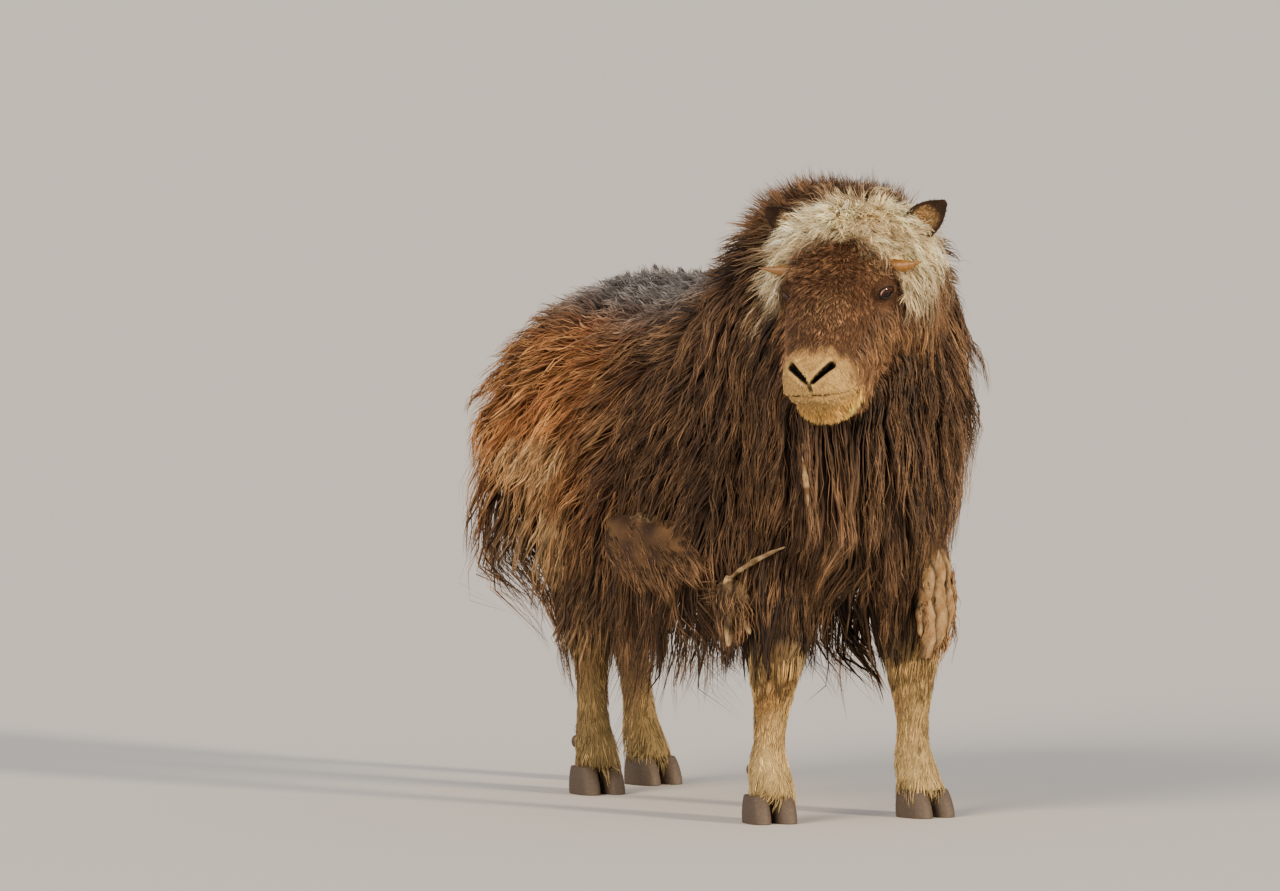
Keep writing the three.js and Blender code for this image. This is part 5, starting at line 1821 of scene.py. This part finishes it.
class MUSKOX_OT_eyes(bpy.types.Operator):
    """Eyeballs with a bulging cornea, and the damp rims of the lids"""
    bl_idname = "muskox.eyes"
    bl_label = "Eyes"

    def execute(self, context):
        wet, damp = eye_material(), bare_skin_material()
        for label, side in SIDES:
            points, faces = ball_points(EYE_RADIUS, 48, 32)
            away = np.hypot(points[:, 0], points[:, 2])
            cornea = 1.6 * fade(0, 12, away) * (points[:, 1] < 0)
            shaped = points - np.array([0, 1.0, 0]) * cornea[:, None]
            ball = mesh_object(f"eyeball_{label}", moved(shaped, eye_matrix(side)), faces)
            edited(ball.data, welded)
            back = moved(places(ball.data), eye_matrix(side).inverted())
            store(ball.data, "Aside", "FLOAT", "value", side * back[:, 0])
            store(ball.data, "Up", "FLOAT", "value", back[:, 2])
            finish_piece(ball, "eye", wet, f"eye_{label}")
            rim = solid(f"lid_rim_{label}", *self.rim(side))
            finish_piece(rim, "face_hair", damp)
        return {"FINISHED"}

    def rim(self, side):
        """A soft, tapered roll along the edge of both lids."""
        wide, high = EYE_OPENING
        ball = EYE_RADIUS + 1.2
        steps, count = 72, 8
        rings = []
        for i in range(steps):
            a = 2 * math.pi * i / steps
            x, z = wide * math.cos(a), high * (1.0 if math.sin(a) > 0 else LOWER_LID) * math.sin(a)
            middle = np.array([x, -math.sqrt(max(ball ** 2 - x * x - z * z, 0)), z])
            out = middle / np.linalg.norm(middle)
            along = unit(np.array([-math.sin(a) * wide, 0, math.cos(a) * high]))
            across = unit(np.cross(out, along))
            rings.append(hoop(middle, out, across, 0.8 + 0.3 * abs(math.sin(a)), count))
        return moved(np.concatenate(rings), eye_matrix(side)), quads(steps, count, closed=True)


# Horns in the head's frame: root and tip, how far the middle bends down, and the radii along them
HORN = {"root": (62, 46, 16), "tip": (138, 40, 24), "bend": -7}
HORN_RADII = [[13], [12.5], [11.5], [10], [8], [5.5], [2.6], [0.6]]
HORN_CLEAR = 12  # no hair hides what is this near a horn's middle line


class MUSKOX_OT_horns(bpy.types.Operator):
    """Short, straw-coloured horns that leave the sides of the forehead"""
    bl_idname = "muskox.horns"
    bl_label = "Horns"

    def execute(self, context):
        material = horn_material("worn horn keratin", "#ab7834", "#48301a", 0.45, 7)
        for label, side in SIDES:
            root, tip = sided(HORN["root"], side), sided(HORN["tip"], side)
            along = unit(tip - root)
            up = unit(np.array([0, 0, 1.0]) - along * along[2])
            across = np.cross(along, up)
            rings = []
            for t in np.linspace(0, 1, 29):
                middle = root + (tip - root) * t + up * HORN["bend"] * math.sin(math.pi * t)
                radius = curve(HORN_RADII, np.array([t]))[0, 0] + 0.25 * math.sin(t * 46)
                rings.append(hoop(middle, across, up, radius, 24))
            points, faces = tube(rings)
            made = solid(f"horn_sheath_{label}", moved(points, HEAD), faces)
            finish_piece(made, "horn", material, f"horn_{label}")
        return {"FINISHED"}


# Ears in the head's frame: root and tip, thickness, the way they open, and half width and depth along them
EAR = {"root": (84, 118, 8), "tip": (152, 154, 43), "thick": 5, "open": (0.35, -0.75, 0.55)}
EAR_ROWS = [[17, 7], [25, 13], [27.5, 14], [25, 11], [17, 6], [5, 1]]


class MUSKOX_OT_ears(bpy.types.Operator):
    """Small cupped ears, dark outside and tan inside, with curly hair along them"""
    bl_idname = "muskox.ears"
    bl_label = "Ears"

    def execute(self, context):
        hide, hair = hide_material(), guard_hair_material("curly ear hair", 0.6, 0.3, 0.2)
        for label, side in SIDES:
            made = solid(f"ear_cup_{label}", *tube(self.rings(side)))
            evaluated(made, "SUBSURF", levels=1, render_levels=1)
            points, normals = places(made.data), normals_of(made.data)
            root, along, across, long = self.axes(side)
            level = (points - root) @ along / long
            aside = (points - root) @ across / curve(EAR_ROWS, np.clip(level, 0, 1))[:, 0]
            inside = smooth(-0.1, 0.4, normals @ self.open_way(side))
            cup = inside * fade(0.5, 0.78, level) * fade(0.5, 0.85, np.abs(aside))
            shade = blend(colour("ear"), colour("ear_inside") * 0.8, cup)
            paint(made.data, shade)
            finish_piece(made, "ear_hair", hide, f"ear_{label}")
            self.hair(made.data, label, side, points, normals, cup, shade, hair)
        return {"FINISHED"}

    def axes(self, side):
        """Root, way along and across, and length of an ear, on the animal."""
        root, tip = (moved(sided(EAR[end], side)[None], HEAD)[0] for end in ("root", "tip"))
        along = unit(tip - root)
        across = unit(np.cross(along, self.open_way(side)))
        return root, along, across, np.linalg.norm(tip - root)

    def open_way(self, side):
        return unit(turned(sided(EAR["open"], side)[None], HEAD)[0])

    def rings(self, side):
        """Sections of the cup: its inner side and, back again, its outer side."""
        root, tip, faced = (sided(EAR[key], side) for key in ("root", "tip", "open"))
        along = unit(tip - root)
        way = unit(faced - along * (faced @ along))
        across = np.cross(along, way)
        shares = np.linspace(-1, 1, 11)
        rings = []
        for t in np.linspace(-0.12, 1, 20):
            half, deep = curve(EAR_ROWS, np.array([max(t, 0)]))[0]
            middle = root + (tip - root) * t
            inner = [middle + across * (half * s) - way * (deep * (1 - s * s)) for s in shares]
            outer = [p - way * (EAR["thick"] * (1 - 0.6 * abs(s))) for p, s in zip(inner, shares)]
            rings.append(moved(np.array(inner + outer[::-1]), HEAD))
        return rings

    def hair(self, mesh, label, side, points, normals, cup, shade, material):
        """Short hair on the outside and longer, curly hair in the cup."""
        rng = np.random.default_rng(400 + side)
        corners, weights = sample_roots(mesh, points, 1 + 1.5 * cup, hairs(900), rng)
        roots, facing = at_roots(corners, weights, points), unit(at_roots(corners, weights, normals))
        inside = (cup[corners] * weights).sum(1)
        root, along, _, long = self.axes(side)
        lie = unit(along + 0.2 * facing + 0.25 * rng.normal(size=roots.shape))
        lie = unit(blend(lie, along + 0.6 * facing + 0.5 * rng.normal(size=roots.shape), inside))
        level = np.clip((roots - root) @ along / long, 0, 1)
        length = mix(7, 17, inside) * (1 - 0.4 * level) * rng.uniform(0.6, 1.2, len(roots))
        s = np.linspace(0, 1, 4)
        paths = roots[:, None] + lie[:, None] * (length[:, None] * s[None])[..., None]
        paths = crimped(paths, mix(0.4, 1.8, inside), 14.0, np.arange(len(roots)) // 3, rng)
        base = at_roots(corners, weights, shade) * np.exp(0.3 * rng.normal(size=(len(roots), 1)))
        tones = base[:, None] * np.array([0.7, 1, 1.25, 1.5])[None, :, None]
        uv = unwrap("ear", 0.5 * level + (0.5 if side > 0 else 0), inside * 340 - 170)
        made = strand_mesh(f"ear_hair_{label}", paths, facing, np.full(len(roots), 1.1), tones, uv,
                           np.full(len(roots), 0.55))
        finish_piece(made, "ear_hair", material)


HOOF = {"high": 43.7, "half": 19, "front": 46, "back": 30, "apart": 2.5, "ahead": 14}
# Height, width and reach of a claw's sections as shares of its size
HOOF_ROWS = [[0, 0.97, 0.97], [0.06, 1, 1], [0.3, 1, 0.98], [0.6, 0.95, 0.91], [0.85, 0.88, 0.8],
             [1, 0.8, 0.7]]
DEWCLAW = {"aside": 15, "back": 31, "level": 80, "radii": (7, 7, 10)}


class MUSKOX_OT_hooves(bpy.types.Operator):
    """Two dark claws on each foot and two dewclaws behind each fetlock"""
    bl_idname = "muskox.hooves"
    bl_label = "Hooves"

    def execute(self, context):
        material = horn_material("dark hoof keratin", "#5b4c3e", "#2a211b", 0.7, 5)
        for name in LEGS:
            for label, side in SIDES:
                made = solid(f"{name}_hoof_{label}", *self.claw(name, side))
                finish_piece(made, "hoof", material, f"{name}_claw_{label}")
                made = solid(f"{name}_dewhoof_{label}", *self.dewclaw(name, side))
                finish_piece(made, "hoof", material, f"{name}_dewclaw_{label}")
        return {"FINISHED"}

    def foot(self, name):
        _, (x, y), turn = FEET[name]
        return Matrix.Translation((x, y, 0)) @ Matrix.Rotation(rad(turn), 4, "Z")

    def claw(self, name, side):
        """One claw: an upright, rounded block with a flat sole, narrower above."""
        angles = around(32)
        c, s = np.cos(angles), np.sin(angles)
        square_c, square_s = (np.sign(v) * np.abs(v) ** 0.8 for v in (c, s))
        rings = []
        for up, wide, long in curve(HOOF_ROWS, np.linspace(0, 1, 22)):
            reach = np.where(c > 0, HOOF["front"], HOOF["back"])
            grow = 1 + 0.008 * math.sin(up * 50)
            rings.append(np.stack([
                side * (HOOF["half"] + HOOF["apart"]) + grow * wide * HOOF["half"] * square_s,
                -HOOF["ahead"] - grow * long * reach * square_c + 6 * up,
                np.full(len(angles), HOOF["high"] * max(up, 0))], 1))
        points, faces = tube(rings)
        return moved(points, self.foot(name)), faces

    def dewclaw(self, name, side):
        points, faces = ball_points(1, 20, 14)
        place = (side * DEWCLAW["aside"], DEWCLAW["back"], DEWCLAW["level"])
        return moved(points * np.array(DEWCLAW["radii"]) + place, self.foot(name)), faces


class MUSKOX_PT_panel(bpy.types.Panel):
    bl_idname = "MUSKOX_PT_panel"
    bl_label = "Young muskox"
    bl_space_type = "VIEW_3D"
    bl_region_type = "UI"
    bl_category = "Muskox"

    def draw(self, context):
        layout = self.layout
        for group in (context.scene.muskox_sizes, context.scene.muskox_colours):
            for key in group.bl_rna.properties.keys():
                if key not in ("rna_type", "name"):
                    layout.prop(group, key)
        for operator in OPERATORS:
            layout.operator(operator.bl_idname)


OPERATORS = (MUSKOX_OT_stage, MUSKOX_OT_skin, MUSKOX_OT_body_coat, MUSKOX_OT_head_coat, MUSKOX_OT_leg_coat,
             MUSKOX_OT_felt, MUSKOX_OT_eyes, MUSKOX_OT_horns, MUSKOX_OT_ears, MUSKOX_OT_hooves)
CLASSES = (MuskoxSizes, MuskoxColours, *OPERATORS, MUSKOX_PT_panel)


def register():
    for one in CLASSES:
        bpy.utils.register_class(one)
    bpy.types.Scene.muskox_sizes = bpy.props.PointerProperty(type=MuskoxSizes)
    bpy.types.Scene.muskox_colours = bpy.props.PointerProperty(type=MuskoxColours)


def unregister():
    del bpy.types.Scene.muskox_colours
    del bpy.types.Scene.muskox_sizes
    for one in reversed(CLASSES):
        bpy.utils.unregister_class(one)


def main():
    register()
    for operator in OPERATORS:
        group, name = operator.bl_idname.split(".")
        getattr(getattr(bpy.ops, group), name)()


if __name__ == "__main__":
    main()
